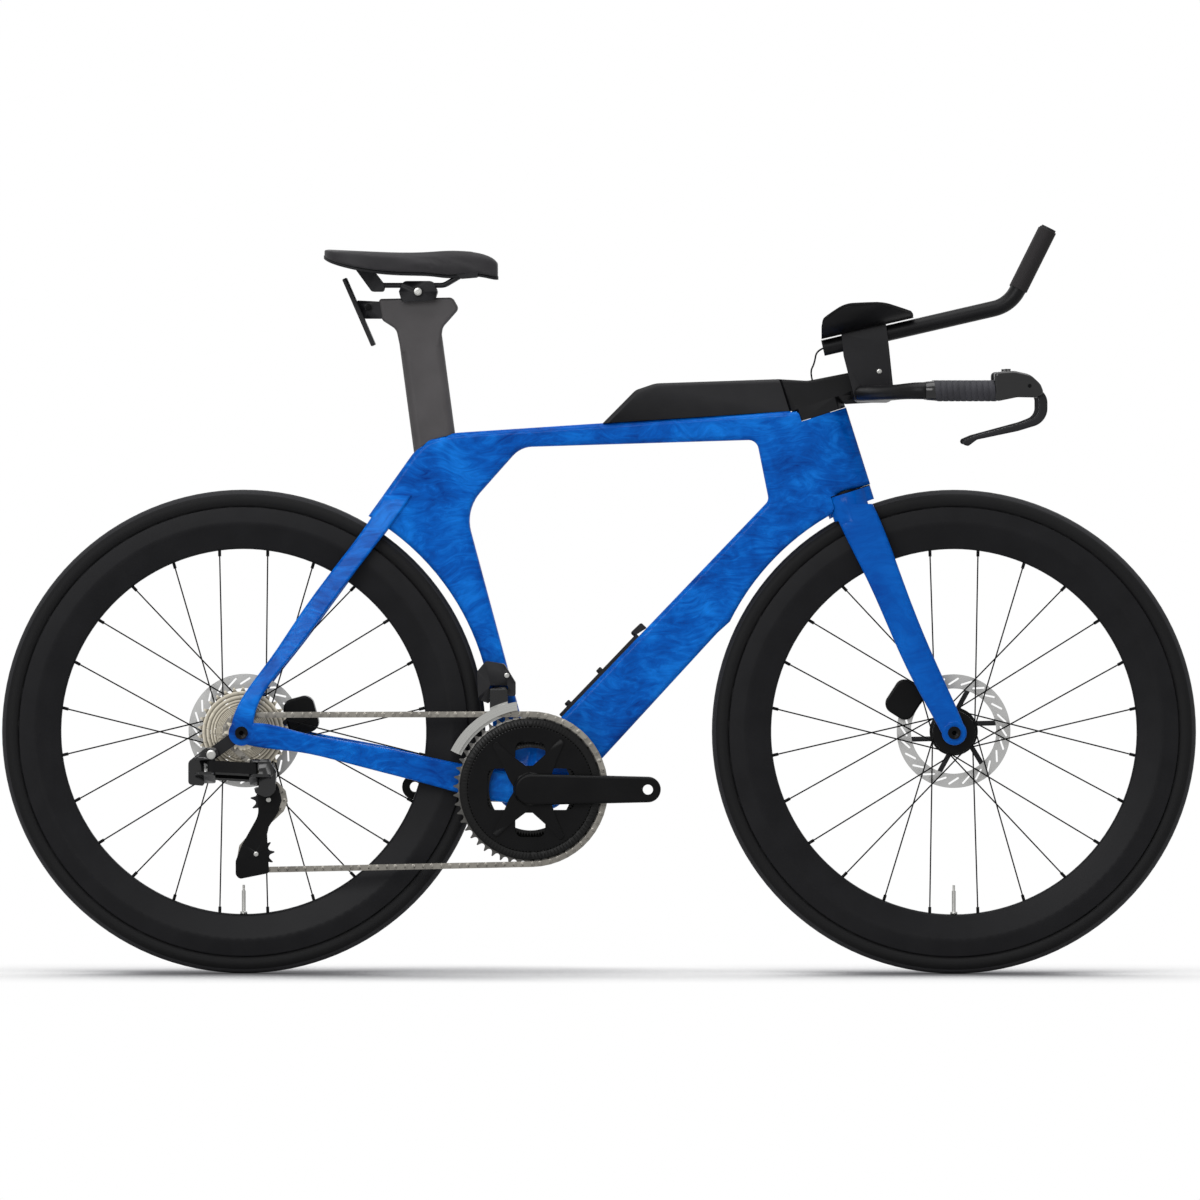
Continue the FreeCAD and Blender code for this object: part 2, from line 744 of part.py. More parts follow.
def build_saddle():
    cover = saddle_loft(0, None, 0)
    groove = pipe([Vec(-420, 0, 1028), Vec(-290, 0, 1022), Vec(-110, 0, 1022)], 60, 14)
    cover = cover.cut(groove)
    rails = [rail(-1).cut(cover), rail(1).cut(cover)]
    base = saddle_loft(5, 1.5, 3)
    for side in (-1, 1):
        y = side * rail_spacing / 2
        wedge = [(-348, 999, 2), (-318, 990, 2), (-300, 967, 4), (-302, 958, 4), (-318, 958, 4)]
        base = base.fuse(side_plate(wedge, y - 7, y + 7))
        front = [(-200, 986, 2), (-168, 988, 2), (-170, 978, 3), (-194, 976, 3)]
        base = base.fuse(side_plate(front, y - 6, y + 6))
    base = base.cut(cover)
    base = base.cut(Part.makeCompound(rails))
    return cover, base, Part.makeCompound(rails)


saddle_cover, saddle_shell, saddle_rails = build_saddle()
save("saddle_cover", saddle_cover)
save("saddle_shell", saddle_shell)
save("saddle_rails", saddle_rails)

# Storage box and stem
stem_half_width = 24.0


def top_tube_z(x):
    return top_front_of_post[1] + (x - top_front_of_post[0]) * top_tube_slope


def build_storage_box():
    corners = [
        (6, top_tube_z(6), 0),
        (52, 820, 18),
        (80, 829.5, 40),
        (270, 836, 0),
        (290, top_tube_z(290), 0),
    ]
    shape = side_plate(corners, -20, 20)
    shape = shape.cut(cylinder(stem_turn_radius + steering_gap, head_point(470, 0), steer_up, 120))

    def upper_side_edge(edge):
        spot = middle(edge)
        return abs(spot.y) > 19.9 and spot.z > top_tube_z(spot.x) + 1 and spot.x < 235

    return fillet_edges(shape, 6, upper_side_edge)


save("storage_box", build_storage_box())

bar_rows = [
    (384, 0, 814, 0, 60, 24),
    (386, 70, 815, 0, 56, 22),
    (401, 130, 816, 22, 44, 21),
    (424, 174, 817.5, 48, 32, 21),
    (445, grip_side - 2, 819, 80, 24, 23.4),
    (457, grip_side, 819, 90, 23.8, 23.8),
]
bar_radius = 11.0
bar_z = 819.0
grip_start = 457.0


def build_base_bar():
    wires = []
    right_rows = [(x, -y, z, -swing, w, h) for x, y, z, swing, w, h in reversed(bar_rows[1:])]
    for x, y, z, swing, width, height in right_rows + bar_rows:
        turn = math.radians(swing)
        wide = Vec(math.cos(turn), -math.sin(turn), 0)
        wires.append(rounded_section(Vec(x, y, z), wide, Vec(0, 0, 1), width, height, height / 2 - 0.3))
    shape = Part.makeLoft(wires, True, False)
    hold = cylinder(bar_radius, Vec(grip_start - 4, grip_side, bar_z), Vec(1, 0, 0), 107)
    return shape.fuse([hold, mirrored(hold)])


def both_sides(shape):
    return Part.makeCompound([shape, mirrored(shape)])


def bar_walls():
    # Faces that part the bar where it bends towards the grips
    walls = [side_wall((grip_start + 8, 780), (grip_start + 8, 860))]
    for y in (-174, -130, -70, 70, 130, 174):
        edge = Part.makeLine(Vec(340, y, 780), Vec(450, y, 780))
        walls.append(edge.extrude(Vec(0, 0, 80)))
    return walls


base_bar = build_base_bar()
save("base_bar", split_by(base_bar, bar_walls()))


def build_stem():
    under_front = head_point(498, 30)
    under_rear = head_point(498, -60)
    corners = [
        (240, 836, 0),
        (293.5, 833, 30),
        (352, 844.5, 12),
        (398, 836, 6),
        (402, 803, 6),
        (344, 800, 8),
        (under_front.x, under_front.z, 0),
        (under_rear.x, under_rear.z, 0),
    ]
    body = side_plate(corners, -stem_half_width, stem_half_width)
    ahead_part = Part.makeBox(200, 120, 200, Vec(0, -60, 0))
    ahead_part.Placement = FreeCAD.Placement(head_point(460, 0), steer_turn)
    round_part = cylinder(stem_turn_radius, head_point(460, 0), steer_up, 120)
    body = body.common(ahead_part.fuse(round_part))
    body = fillet_edges(body, 4, lambda edge: abs(middle(edge).y) > 20 and middle(edge).x > 320)
    cap = cylinder(head_nose - 0.8, head_point(head_upper + 0.6, 0), steer_up, 498.5 - head_upper)
    keep = Part.makeBox(300, 51, 300, Vec(180, -25.5, 650))
    body = body.fuse(cap.common(keep))
    body = body.cut(cylinder(steerer_radius, head_point(470, 0), steer_up, steerer_top + 0.2 - 470))
    return body.cut(base_bar)


stem = build_stem()
save("stem", stem)

# Grips, hoods, levers
hood_start = 553.0
lever_pivot = (602.0, 826.0)
lever_thickness = 11.0
pivot_radius = 2.5


grip_length = hood_start - grip_start
grip = ring(14.75, bar_radius, Vec(grip_start, grip_side, bar_z), Vec(1, 0, 0), grip_length)
grip_rims = [edge for edge in grip.Edges if abs(edge.Length - 2 * math.pi * 14.75) < 0.1]
grip = grip.makeFillet(2, grip_rims)
save("base_bar_grips", both_sides(grip))


def build_hood():
    corners = [
        (hood_start, 803.5, 6),
        (hood_start, 845, 6),
        (580, 847, 30),
        (603, 842, 25),
        (617, 829, 18),
        (623, 814, 7),
        (610, 809.5, 6),
        (585, 810, 20),
    ]
    body = side_plate(corners, grip_side - 13.5, grip_side + 13.5)
    body = fillet_edges(body, 4.5, lambda edge: abs(abs(middle(edge).y - grip_side) - 13.5) < 0.1)
    half = lever_thickness / 2 + part_gap
    slot = [(588, 780, 0), (640, 780, 0), (640, 824, 0), (612, 836.5, 0), (588, 838, 4)]
    body = body.cut(side_plate(slot, grip_side - half, grip_side + half))
    body = body.cut(cylinder(bar_radius, Vec(540, grip_side, bar_z), Vec(1, 0, 0), 20))
    button = cylinder(4, Vec(572, grip_side, 842), Vec(0, 0, 1), 7.5)
    body = body.fuse(button)
    return body.cut(across(pivot_radius + running_gap, *lever_pivot, grip_side - 12, grip_side + 12))


save("brake_hoods", both_sides(build_hood()))


def build_lever():
    corners = [
        (594, 831, 4),
        (608, 833.5, 8),
        (627, 810, 22),
        (627, 775.5, 26),
        (586, 763, 60),
        (529, 751, 8),
        (517, 742, 4),
        (507.5, 744.5, 4),
        (511, 750.5, 4),
        (524, 756, 10),
        (592, 774.5, 40),
        (615, 783.5, 16),
        (615, 812, 12),
        (594, 820, 4),
    ]
    half = lever_thickness / 2
    blade = side_plate(corners, grip_side - half, grip_side + half)
    blade = fillet_edges(blade, 2.5, lambda edge: abs(abs(middle(edge).y - grip_side) - half) < 0.1)
    pin = across(pivot_radius, *lever_pivot, grip_side - 11, grip_side + 11)
    return blade.fuse(pin)


lever = build_lever()
save("brake_lever_left", lever)
save("brake_lever_right", mirrored(lever))

# Extensions, grips, buttons, armrests
extension_rear = (315.0, 878.8)
extension_tip = (630.0, 1044.5)
tip_angle = 63.5
tip_grip_length = 93.0
button_depth = 8.0
button_travel = 1.5
extension_bend = 50.0
extension_wall = 2.0
tip_slope = math.tan(math.radians(tip_angle))
rear_slope = math.tan(math.radians(extension_angle))
corner_x = (
    extension_rear[1] - extension_tip[1] - rear_slope * extension_rear[0] + tip_slope * extension_tip[0]
) / (tip_slope - rear_slope)
corner_z = extension_rear[1] + rear_slope * (corner_x - extension_rear[0])
tip_way = Vec(math.cos(math.radians(tip_angle)), 0, math.sin(math.radians(tip_angle)))
run_way = Vec(math.cos(math.radians(extension_angle)), 0, math.sin(math.radians(extension_angle)))
tip_point = Vec(extension_tip[0], extension_side, extension_tip[1])
rear_point = Vec(extension_rear[0], extension_side, extension_rear[1])


def build_extension():
    bend_point = Vec(corner_x, extension_side, corner_z)
    stop = tip_point - tip_way * (button_depth + button_travel + 3)
    solid = pipe([rear_point, bend_point, stop], extension_bend, extension_radius)
    inner_radius = extension_radius - extension_wall
    room = pipe([rear_point - run_way, bend_point, stop + tip_way], extension_bend, inner_radius)
    return solid.cut(room)


extension = build_extension()
save("extensions", both_sides(extension))
tip_grip_start = tip_point - tip_way * tip_grip_length
tip_grip = ring(12.6, extension_radius, tip_grip_start, tip_way, tip_grip_length)
tip_rims = [edge for edge in tip_grip.Edges if abs(edge.Length - 2 * math.pi * 12.6) < 0.1]
tip_grip = tip_grip.makeFillet(1, tip_rims)
save("extension_grips", both_sides(tip_grip))
button = cylinder(extension_radius - part_gap, tip_point - tip_way * button_depth, tip_way, button_depth + 3)
button = button.makeFillet(1.2, [edge for edge in button.Edges if middle(edge).z > extension_tip[1] - 3.5])
save("shift_button_left", button)
save("shift_button_right", mirrored(button))

cup_radius = 50.0
cup_wall = 3.0
cushion = 9.0
cushion_lip = 5.0
armrest_low = 906.5


def build_armrest():
    across_run = Vec(-run_way.z, 0, run_way.x)
    start = Vec(378, armrest_side, armrest_low) + across_run * cup_radius - run_way * 100
    dome = [
        (313, 885, 0),
        (313, 920, 12),
        (345, 942, 45),
        (400, 944, 60),
        (442, 930, 8),
        (442, 905, 0),
    ]
    reach = side_plate(dome, armrest_side - 60, armrest_side + 60)
    low_reach = reach.copy()
    low_reach.translate(Vec(0, 0, -cushion_lip))
    inside = cup_radius - cup_wall
    shell = ring(cup_radius, inside, start, run_way, 200)
    cup = shell.common(low_reach)
    pad = ring(inside, inside - cushion, start, run_way, 200).common(reach)
    pad = pad.fuse(shell.common(reach).cut(low_reach))
    return cup, pad


cup, pad = build_armrest()
save("armrest_cups", both_sides(cup))
save("armrest_pads", both_sides(pad))


def build_riser():
    corners = [(360, 806, 0), (415, 808, 0), (407, 884, 10), (402, 920, 4), (340, 908, 4), (344, 868, 10)]
    body = side_plate(corners, extension_side - 14, extension_side + 14)
    across_run = Vec(-run_way.z, 0, run_way.x)
    start = Vec(378, armrest_side, armrest_low) + across_run * cup_radius - run_way * 100
    body = body.cut(cylinder(cup_radius, start, run_way, 200))
    body = body.cut(cylinder(extension_radius, rear_point - run_way * 5, run_way, 200))
    return body.cut(base_bar)


save("aerobar_risers", both_sides(build_riser()))


def build_wire():
    anchor = head_point(531, 3.8, 12)
    points = [anchor, anchor + Vec(-3, 2, 12), Vec(303, 48, 857)]
    points += [rear_point - run_way * 9, rear_point + run_way * 6]
    length = rounded_path(points, wire_bend).Length
    print("extension wire bend radius", wire_bend, "length", round(length, 1))
    return pipe(points, wire_bend, wire_radius).cut(stem)


save("extension_wire", both_sides(build_wire()))

# Bottle mount rail along the top of the down tube
rail_way = Vec(335.7, 0, 351.0).normalize()
rail_rise = Vec(-rail_way.z, 0, rail_way.x)
rail_foot = Vec(-52.0, 0, 314.0 + (-52.0 + 96.7) * rail_way.z / rail_way.x)
rail_length = 157.0


def build_bottle_rail():
    def place(a, b):
        return rail_foot + rail_way * a + rail_rise * b - Vec(0, 9, 0)

    strip = [(0, 0, 0), (rail_length, 0, 0), (rail_length, 5, 1.5), (0, 5, 1.5)]
    block_end = rail_length + 16
    block = [(rail_length - 5, 5, 0), (block_end, 0, 1), (block_end, 11, 3), (rail_length - 5, 12, 3)]
    width = Vec(0, 18, 0)
    solid = Part.Face(rounded_wire(strip, place)).extrude(width)
    stop = Part.Face(rounded_wire(block, place)).extrude(width).cut(solid)
    slots = []
    bolts = []
    for along in (20, 84):
        spot = rail_foot + rail_way * along
        slots.append(cylinder(2.5, spot, rail_rise, 20))
        head = cylinder(4.5, spot + rail_rise * 5, rail_rise, 4)
        bolts.append(cylinder(2.5, spot, rail_rise, 5).fuse(head))
    holes = []
    for along in (52, 116):
        holes.append(cylinder(2.5, rail_foot + rail_way * along, rail_rise, 20))
    solid = solid.cut(Part.makeCompound(slots + holes))
    return Part.makeCompound([solid, stop] + bolts)


save("bottle_mount_rail", build_bottle_rail().cut(frame))

# Chain drive
roller_radius = 3.8
seat_radius = 4.05
tooth_height = 3.0
chain_y_driven = -driven_side
chain_y_ring = -chainline


def pitch_radius(teeth):
    return chain_pitch / (2 * math.sin(math.pi / teeth))


def sprocket(teeth, x, z, y, thickness, phase):
    radius = pitch_radius(teeth)
    low = y - thickness / 2
    tip_half = 0.8 / (radius + tooth_height)
    spread = math.radians(62)

    def polar(centre_angle, distance):
        return Vec(x + distance * math.cos(centre_angle), low, z + distance * math.sin(centre_angle))

    edges = []
    first = None
    last = None
    for index in range(teeth):
        angle = phase + 2 * math.pi * index / teeth
        seat = polar(angle, radius)
        bottom = polar(angle, radius - seat_radius)
        ends = []
        for way in (-1, 1):
            turn = angle + math.pi - way * spread
            ends.append(seat + Vec(seat_radius * math.cos(turn), 0, seat_radius * math.sin(turn)))
        tip_angle_mid = angle + math.pi / teeth
        tip_a = polar(tip_angle_mid - tip_half, radius + tooth_height)
        tip_b = polar(tip_angle_mid + tip_half, radius + tooth_height)
        if last is not None:
            edges.append(Part.makeLine(last, ends[0]))
        else:
            first = ends[0]
        edges.append(Part.Arc(ends[0], bottom, ends[1]).toShape())
        edges.append(Part.makeLine(ends[1], tip_a))
        edges.append(Part.makeLine(tip_a, tip_b))
        last = tip_b
    edges.append(Part.makeLine(last, first))
    return Part.Face(Part.Wire(edges)).extrude(Vec(0, thickness, 0))


cage_pivot = (-463.0, 275.0)
guide_offset = (3.0, -29.0)
tension_offset = (-10.0, -106.0)


def swung(offset, angle):
    cos = math.cos(angle)
    sin = math.sin(angle)
    x = cage_pivot[0] + offset[0] * cos - offset[1] * sin
    return (x, cage_pivot[1] + offset[0] * sin + offset[1] * cos)


def drive_circles(cage_angle):
    driven_teeth = cassette_teeth[driven_sprocket]
    return [
        (bracket_x, bracket_z, pitch_radius(chainring_teeth), 1, chainring_teeth, chain_y_ring),
        (rear_axle_x, axle_z, pitch_radius(driven_teeth), 1, driven_teeth, chain_y_driven),
        (*swung(guide_offset, cage_angle), pitch_radius(pulley_teeth), -1, pulley_teeth, chain_y_driven),
        (*swung(tension_offset, cage_angle), pitch_radius(pulley_teeth), 1, pulley_teeth, chain_y_driven),
    ]


def drive_path(cage_angle):
    # Straight runs and wraps in order, each with its length in chain pitches
    circles = drive_circles(cage_angle)
    count = len(circles)
    headings = []
    for index in range(count):
        ax, az, ar, aside, _, _ = circles[index]
        bx, bz, br, bside, _, _ = circles[(index + 1) % count]
        span = math.hypot(bx - ax, bz - az)
        headings.append(math.atan2(bz - az, bx - ax) - math.asin((bside * br - aside * ar) / span))
    pieces = []
    for index in range(count):
        x, z, radius, side, teeth, y = circles[index]
        heading_in = headings[index - 1]
        heading_out = headings[index]
        wrap = (side * (heading_out - heading_in)) % (2 * math.pi)
        pieces.append(("wrap", circles[index], heading_in, wrap, wrap * teeth / (2 * math.pi)))
        nx, nz, nradius, nside, _, ny = circles[(index + 1) % count]
        left = (-math.sin(heading_out), math.cos(heading_out))
        start = (x - side * radius * left[0], y, z - side * radius * left[1])
        stop = (nx - nside * nradius * left[0], ny, nz - nside * nradius * left[1])
        length = math.dist(start, stop)
        pieces.append(("run", start, stop, length, length / chain_pitch))
    return pieces


def path_pitches(cage_angle):
    return sum(piece[4] for piece in drive_path(cage_angle))


def solve_cage_angle():
    links = 2 * round(path_pitches(0.0) / 2)
    low = math.radians(-20)
    high = math.radians(20)
    rising = path_pitches(high) > path_pitches(low)
    for _ in range(60):
        mid = (low + high) / 2
        if (path_pitches(mid) > links) == rising:
            high = mid
        else:
            low = mid
    return (low + high) / 2, links


cage_angle, chain_links = solve_cage_angle()


def chain_points():
    pieces = drive_path(cage_angle)
    points = []
    seats = {}
    for index in range(chain_links):
        place = float(index)
        for number, piece in enumerate(pieces):
            if place <= piece[4]:
                break
            place -= piece[4]
        if piece[0] == "run":
            _, start, stop, length, pitches = piece
            share = place / pitches
            points.append(Vec(*(a + (b - a) * share for a, b in zip(start, stop))))
        else:
            _, circle, heading, wrap, pitches = piece
            x, z, radius, side, teeth, y = circle
            angle = heading - side * math.pi / 2 + side * wrap * place / pitches
            points.append(Vec(x + radius * math.cos(angle), y, z + radius * math.sin(angle)))
            seats[number // 2] = angle
    return points, seats


roller_points, seat_angles = chain_points()


def link_plates(low, high):
    centre = Vec(chain_pitch / 2, 0, 0)
    plate = rounded_section(centre, Vec(1, 0, 0), Vec(0, 0, 1), chain_pitch + 8, 8, 3.9)
    near = Part.Face(plate).extrude(Vec(0, high - low, 0))
    near.translate(Vec(0, low, 0))
    far = near.mirror(Vec(0, 0, 0), side_y)
    return [near, far]


def build_links():
    pin = 1.75
    inner = link_plates(1.05, 1.65)
    rollers = [across(roller_radius, x, 0, -1.05, 1.05) for x in (0, chain_pitch)]
    inner_link = inner[0].fuse([inner[1]] + rollers)
    bore = [across(pin + running_gap + 0.05, x, 0, -5, 5) for x in (0, chain_pitch)]
    inner_link = inner_link.cut(Part.makeCompound(bore))
    outer = link_plates(1.75, 2.35)
    pins = [across(pin, x, 0, -2.5, 2.5) for x in (0, chain_pitch)]
    outer_link = outer[0].fuse([outer[1]] + pins)
    return inner_link, outer_link


def build_chain():
    inner_link, outer_link = build_links()
    pieces = []
    for index in range(chain_links):
        start = roller_points[index]
        stop = roller_points[(index + 1) % chain_links]
        along = (stop - start).normalize()
        upright = along.cross(side_y).normalize()
        sideways = upright.cross(along)
        slack = start + (stop - start - along * chain_pitch) * 0.5
        copy = (inner_link if index % 2 == 0 else outer_link).copy()
        copy.Placement = FreeCAD.Placement(slack, FreeCAD.Rotation(along, sideways, upright, "XZY"))
        pieces.append(copy)
    return Part.makeCompound(pieces)


save("chain", build_chain())

# Cassette on its freehub body
freehub_radius = 17.0


def build_cassette():
    pieces = []
    outer_y = chain_y_driven - driven_sprocket * sprocket_pitch
    inner_y = outer_y + (len(cassette_teeth) - 1) * sprocket_pitch
    half = sprocket_thickness / 2
    body = across(freehub_radius, rear_axle_x, axle_z, outer_y - half, inner_y + half)
    pieces.append(body.cut(across(axle_radius + running_gap, rear_axle_x, axle_z, -80, 0)))
    for index, teeth in enumerate(cassette_teeth):
        y = outer_y + index * sprocket_pitch
        phase = seat_angles[1] if index == driven_sprocket else 0.0
        disc = sprocket(teeth, rear_axle_x, axle_z, y, sprocket_thickness, phase)
        disc = disc.cut(across(freehub_radius, rear_axle_x, axle_z, -80, 0))
        if teeth > 20:
            inner = freehub_radius + 6
            outer = pitch_radius(teeth) - 9
            windows = []
            for arm in range(6):
                turn = math.radians(60 * arm)
                ahead = Vec(math.cos(turn), 0, math.sin(turn))
                spot = Vec(rear_axle_x, y - 2, axle_z) + ahead * ((inner + outer) / 2)
                hole = rounded_section(spot, ahead, ahead.cross(side_y), outer - inner, 12, 3)
                windows.append(Part.Face(hole).extrude(Vec(0, 4, 0)))
            disc = disc.cut(Part.makeCompound(windows))
        pieces.append(disc)
        if index:
            gap_low = y - sprocket_pitch + half
            reach = freehub_radius + 1.8
            pieces.append(across_ring(reach, freehub_radius, rear_axle_x, axle_z, gap_low, y - half))
    lock_radius = freehub_radius - 0.5
    lock_y = outer_y - half
    pieces.append(across_ring(lock_radius, axle_radius + 3, rear_axle_x, axle_z, lock_y - 3, lock_y))
    return Part.makeCompound(pieces)


save("cassette", build_cassette())

# Crankset
arm_inner = 58.0
arm_outer = 72.0
arm_end_radius = 18.0
ring_tooth = 1.4
spider_reach = 82.0
spider_angles = (57.0, -57.0, 128.0, -128.0)
spider_inner = 52.8
big_ring_bore = 72.0
small_ring_bore = 58.0
bolt_circle = 62.0


def build_chainrings():
    big = sprocket(chainring_teeth, bracket_x, bracket_z, chain_y_ring, ring_tooth, seat_angles[0])
    big_web = pitch_radius(chainring_teeth) - 7
    outer_face = -arm_inner + 5.3
    big = big.fuse(across(big_web, bracket_x, bracket_z, outer_face, chain_y_ring + 1.6))
    big = big.cut(across_ring(89, 86, bracket_x, bracket_z, outer_face - 1, outer_face + 1))
    big = big.cut(across(big_ring_bore, bracket_x, bracket_z, -80, 0))
    small_y = chain_y_ring + ring_spacing
    small = sprocket(inner_ring_teeth, bracket_x, bracket_z, small_y, ring_tooth, 0.0)
    small_web = pitch_radius(inner_ring_teeth) - 7
    small = small.fuse(across(small_web, bracket_x, bracket_z, chain_y_ring + 1.6, small_y + 1))
    small = small.cut(across(small_ring_bore, bracket_x, bracket_z, -80, 0))
    bolts = []
    for angle in spider_angles:
        turn = math.radians(angle)
        spot = (bracket_x + bolt_circle * math.cos(turn), bracket_z + bolt_circle * math.sin(turn))
        bolts.append(across(5, *spot, -spider_inner, chain_y_ring + 1.6))
    return Part.makeCompound([big, small] + bolts)


save("chainrings", build_chainrings())


def crank_arm(way, y_low, y_high):
    slope = math.atan2(22 - arm_end_radius, crank_length)
    dip = math.sin(slope)
    flat = math.cos(slope)
    end_x = bracket_x + way * crank_length
    corners = [
        (bracket_x + way * 22 * dip, bracket_z - 22 * flat, 0),
        (end_x + way * arm_end_radius * dip, bracket_z - arm_end_radius * flat, 0),
        (end_x + way * arm_end_radius * dip, bracket_z + arm_end_radius * flat, 0),
        (bracket_x + way * 22 * dip, bracket_z + 22 * flat, 0),
    ]
    body = side_plate(corners, y_low, y_high)
    body = body.fuse(across(22, bracket_x, bracket_z, y_low, y_high))
    body = body.fuse(across(arm_end_radius, end_x, bracket_z, y_low, y_high)).removeSplitter()
    outer_face = y_low if y_low < 0 else y_high
    body = fillet_edges(body, 4, lambda edge: abs(middle(edge).y - outer_face) < 0.1)
    return body.cut(across(pedal_hole_radius, end_x, bracket_z, -100, 100))


def build_crank_right():
    arm_body = crank_arm(1, -arm_outer, -arm_inner)
    hub = across(24, bracket_x, bracket_z, -arm_inner, -41)
    spindle = across(spindle_radius, bracket_x, bracket_z, -41, 68)
    outline = [
        (10, -17, 0),
        (30, -15, 8),
        (56, -8, 20),
        (spider_reach, -4, 3),
        (spider_reach, 4, 3),
        (56, 8, 20),
        (30, 15, 8),
        (10, 17, 0),
    ]
    arms = []
    for angle in spider_angles:
        turn = math.radians(angle)
        away = Vec(math.cos(turn), 0, math.sin(turn))
        beside = away.cross(side_y)
        spot = Vec(bracket_x, -arm_inner, bracket_z)
        wire = rounded_wire(outline, lambda a, b: spot + away * a + beside * b)
        arms.append(Part.Face(wire).extrude(Vec(0, arm_inner - spider_inner, 0)))
    spider = arms[0].fuse(arms[1:]).cut(hub)
    return Part.makeCompound([arm_body, hub, spindle] + spider.Solids)


save("crank_arm_right", build_crank_right())


def build_crank_left():
    bore = across(spindle_radius, bracket_x, bracket_z, 0, 68)
    cap = across(9, bracket_x, bracket_z, 68, 73)
    arm_body = crank_arm(-1, arm_inner, arm_outer).cut(bore).fuse(cap)
    boss = across(20, bracket_x, bracket_z, 41, arm_inner).cut(bore)
    return Part.makeCompound([arm_body, boss])


save("crank_arm_left", build_crank_left())

# Front derailleur
shift_pivot = (-38.0, 396.0)
cage_low = 112.0
cage_high = 124.0
cage_start = 99.0
cage_stop = 154.0
cage_sectors = 4


def ring_sector(inner, outer, start_angle, stop_angle, y_low, y_high):
    def place(radius, angle):
        turn = math.radians(angle)
        return Vec(bracket_x + radius * math.cos(turn), y_low, bracket_z + radius * math.sin(turn))

    half = (start_angle + stop_angle) / 2
    edges = [
        Part.Arc(place(inner, start_angle), place(inner, half), place(inner, stop_angle)).toShape(),
        Part.makeLine(place(inner, stop_angle), place(outer, stop_angle)),
        Part.Arc(place(outer, stop_angle), place(outer, half), place(outer, start_angle)).toShape(),
        Part.makeLine(place(outer, start_angle), place(inner, start_angle)),
    ]
    return Part.Face(Part.Wire(edges)).extrude(Vec(0, y_high - y_low, 0))


def cage_plate(inner, y_low, y_high):
    # Short sectors end to end round the chainring
    step = (cage_stop - cage_start) / cage_sectors
    sectors = []
    for index in range(cage_sectors):
        angle = cage_start + index * step
        sectors.append(ring_sector(inner, cage_high, angle, angle + step, y_low, y_high))
    return sectors


def build_front_derailleur():
    corners = [
        (-168, 386, 5),
        (-152.5, 380, 2),
        (-152.5, 406, 2),
        (-126.5, 406, 2),
        (-126.5, 391, 2),
        (-116, 391, 3),
        (-116, 410, 4),
        (-132, 436, 6),
        (-158, 440, 6),
        (-170, 425, 6),
    ]
    body = side_plate(corners, -46, -21)
    foot = side_plate([(-152, 408, 3), (-124, 408, 3), (-133, 434, 3), (-158, 434, 3)], -22, -12)
    body = body.fuse(foot).cut(frame)
    pin = cylinder(pivot_radius, Vec(-166, *shift_pivot), Vec(1, 0, 0), 48)
    body = body.fuse(pin)
    bolt = across(4, -128, 420, -49, -46)
    body = body.fuse(bolt)
    pieces = cage_plate(cage_low, -56.2, -54.8) + cage_plate(cage_low - 4, -45.2, -43.8)
    pieces.append(ring_sector(cage_low + 6, cage_high, cage_stop - 6, cage_stop - 1, -54.8, -45.2))
    pieces.append(ring_sector(cage_high - 4, cage_high, cage_start + 1, cage_start + 13, -54.8, -45.2))
    arm = side_plate([(-152, 366, 2), (-127, 366, 2), (-127, 403, 4), (-152, 403, 4)], -43.8, -32)
    bore = cylinder(pivot_radius + running_gap, Vec(-200, *shift_pivot), Vec(1, 0, 0), 120)
    cage = Part.makeCompound(pieces + [arm.cut(bore)])
    return body, cage


fd_body, fd_cage = build_front_derailleur()
save("front_derailleur_body", fd_body)
save("front_derailleur_cage", fd_cage)

# Rear derailleur
knuckle_bolt = (-541.0, 310.0)
slant = math.radians(25.0)
link_length = 60.0
link_rest = math.radians(8.0)
link_split = 10.0
link_width = 8.0
link_half = 8.7
inward = Vec(0, math.cos(slant), -math.sin(slant))
pivot_way = Vec(0, math.sin(slant), math.cos(slant))
link_way = Vec(math.cos(link_rest), 0, 0) + inward * math.sin(link_rest)
link_across = inward * math.cos(link_rest) - Vec(math.sin(link_rest), 0, 0)
knuckle_pivot = Vec(-541.0, -86.0, 288.0)
pin_radius = 2.0


def pivot_points(start):
    return [start - inward * link_split, start + inward * link_split]


def build_hanger():
    inner = -rear_hub_width / 2
    disc = across(16, rear_axle_x, axle_z, inner, inner + 5.5)
    boss = across(9, *knuckle_bolt, inner, inner + 5.5)
    way = Vec(knuckle_bolt[0] - rear_axle_x, 0, knuckle_bolt[1] - axle_z)
    arm = rounded_section(
        Vec(rear_axle_x, inner, axle_z) + way * 0.5, way.normalize(), way.cross(side_y).normalize(), 50, 17, 2
    )
    shape = disc.fuse([boss, Part.Face(arm).extrude(Vec(0, 5.5, 0))])
    shape = shape.cut(across(axle_radius, rear_axle_x, axle_z, -100, 0))
    return shape.cut(across(4 + running_gap, *knuckle_bolt, -100, 0)).cut(frame)


save("derailleur_hanger", build_hanger())


def clevis(points, toward):
    # Two plates above and below the links, with a pin at each pivot
    middle_point = (points[0] + points[1]) * 0.5 + toward * 0.5
    width = (points[1] - points[0]).Length + 11
    wide = (points[1] - points[0]).normalize()
    pieces = []
    for low in (link_half + part_gap, -link_half - part_gap - 4.5):
        centre = middle_point + pivot_way * low
        outline = rounded_section(centre, Vec(1, 0, 0), wide, toward.Length + 12, width, 5)
        pieces.append(Part.Face(outline).extrude(pivot_way * 4.5))
    for point in points:
        pieces.append(cylinder(pin_radius, point - pivot_way * 12, pivot_way, 24))
    return pieces


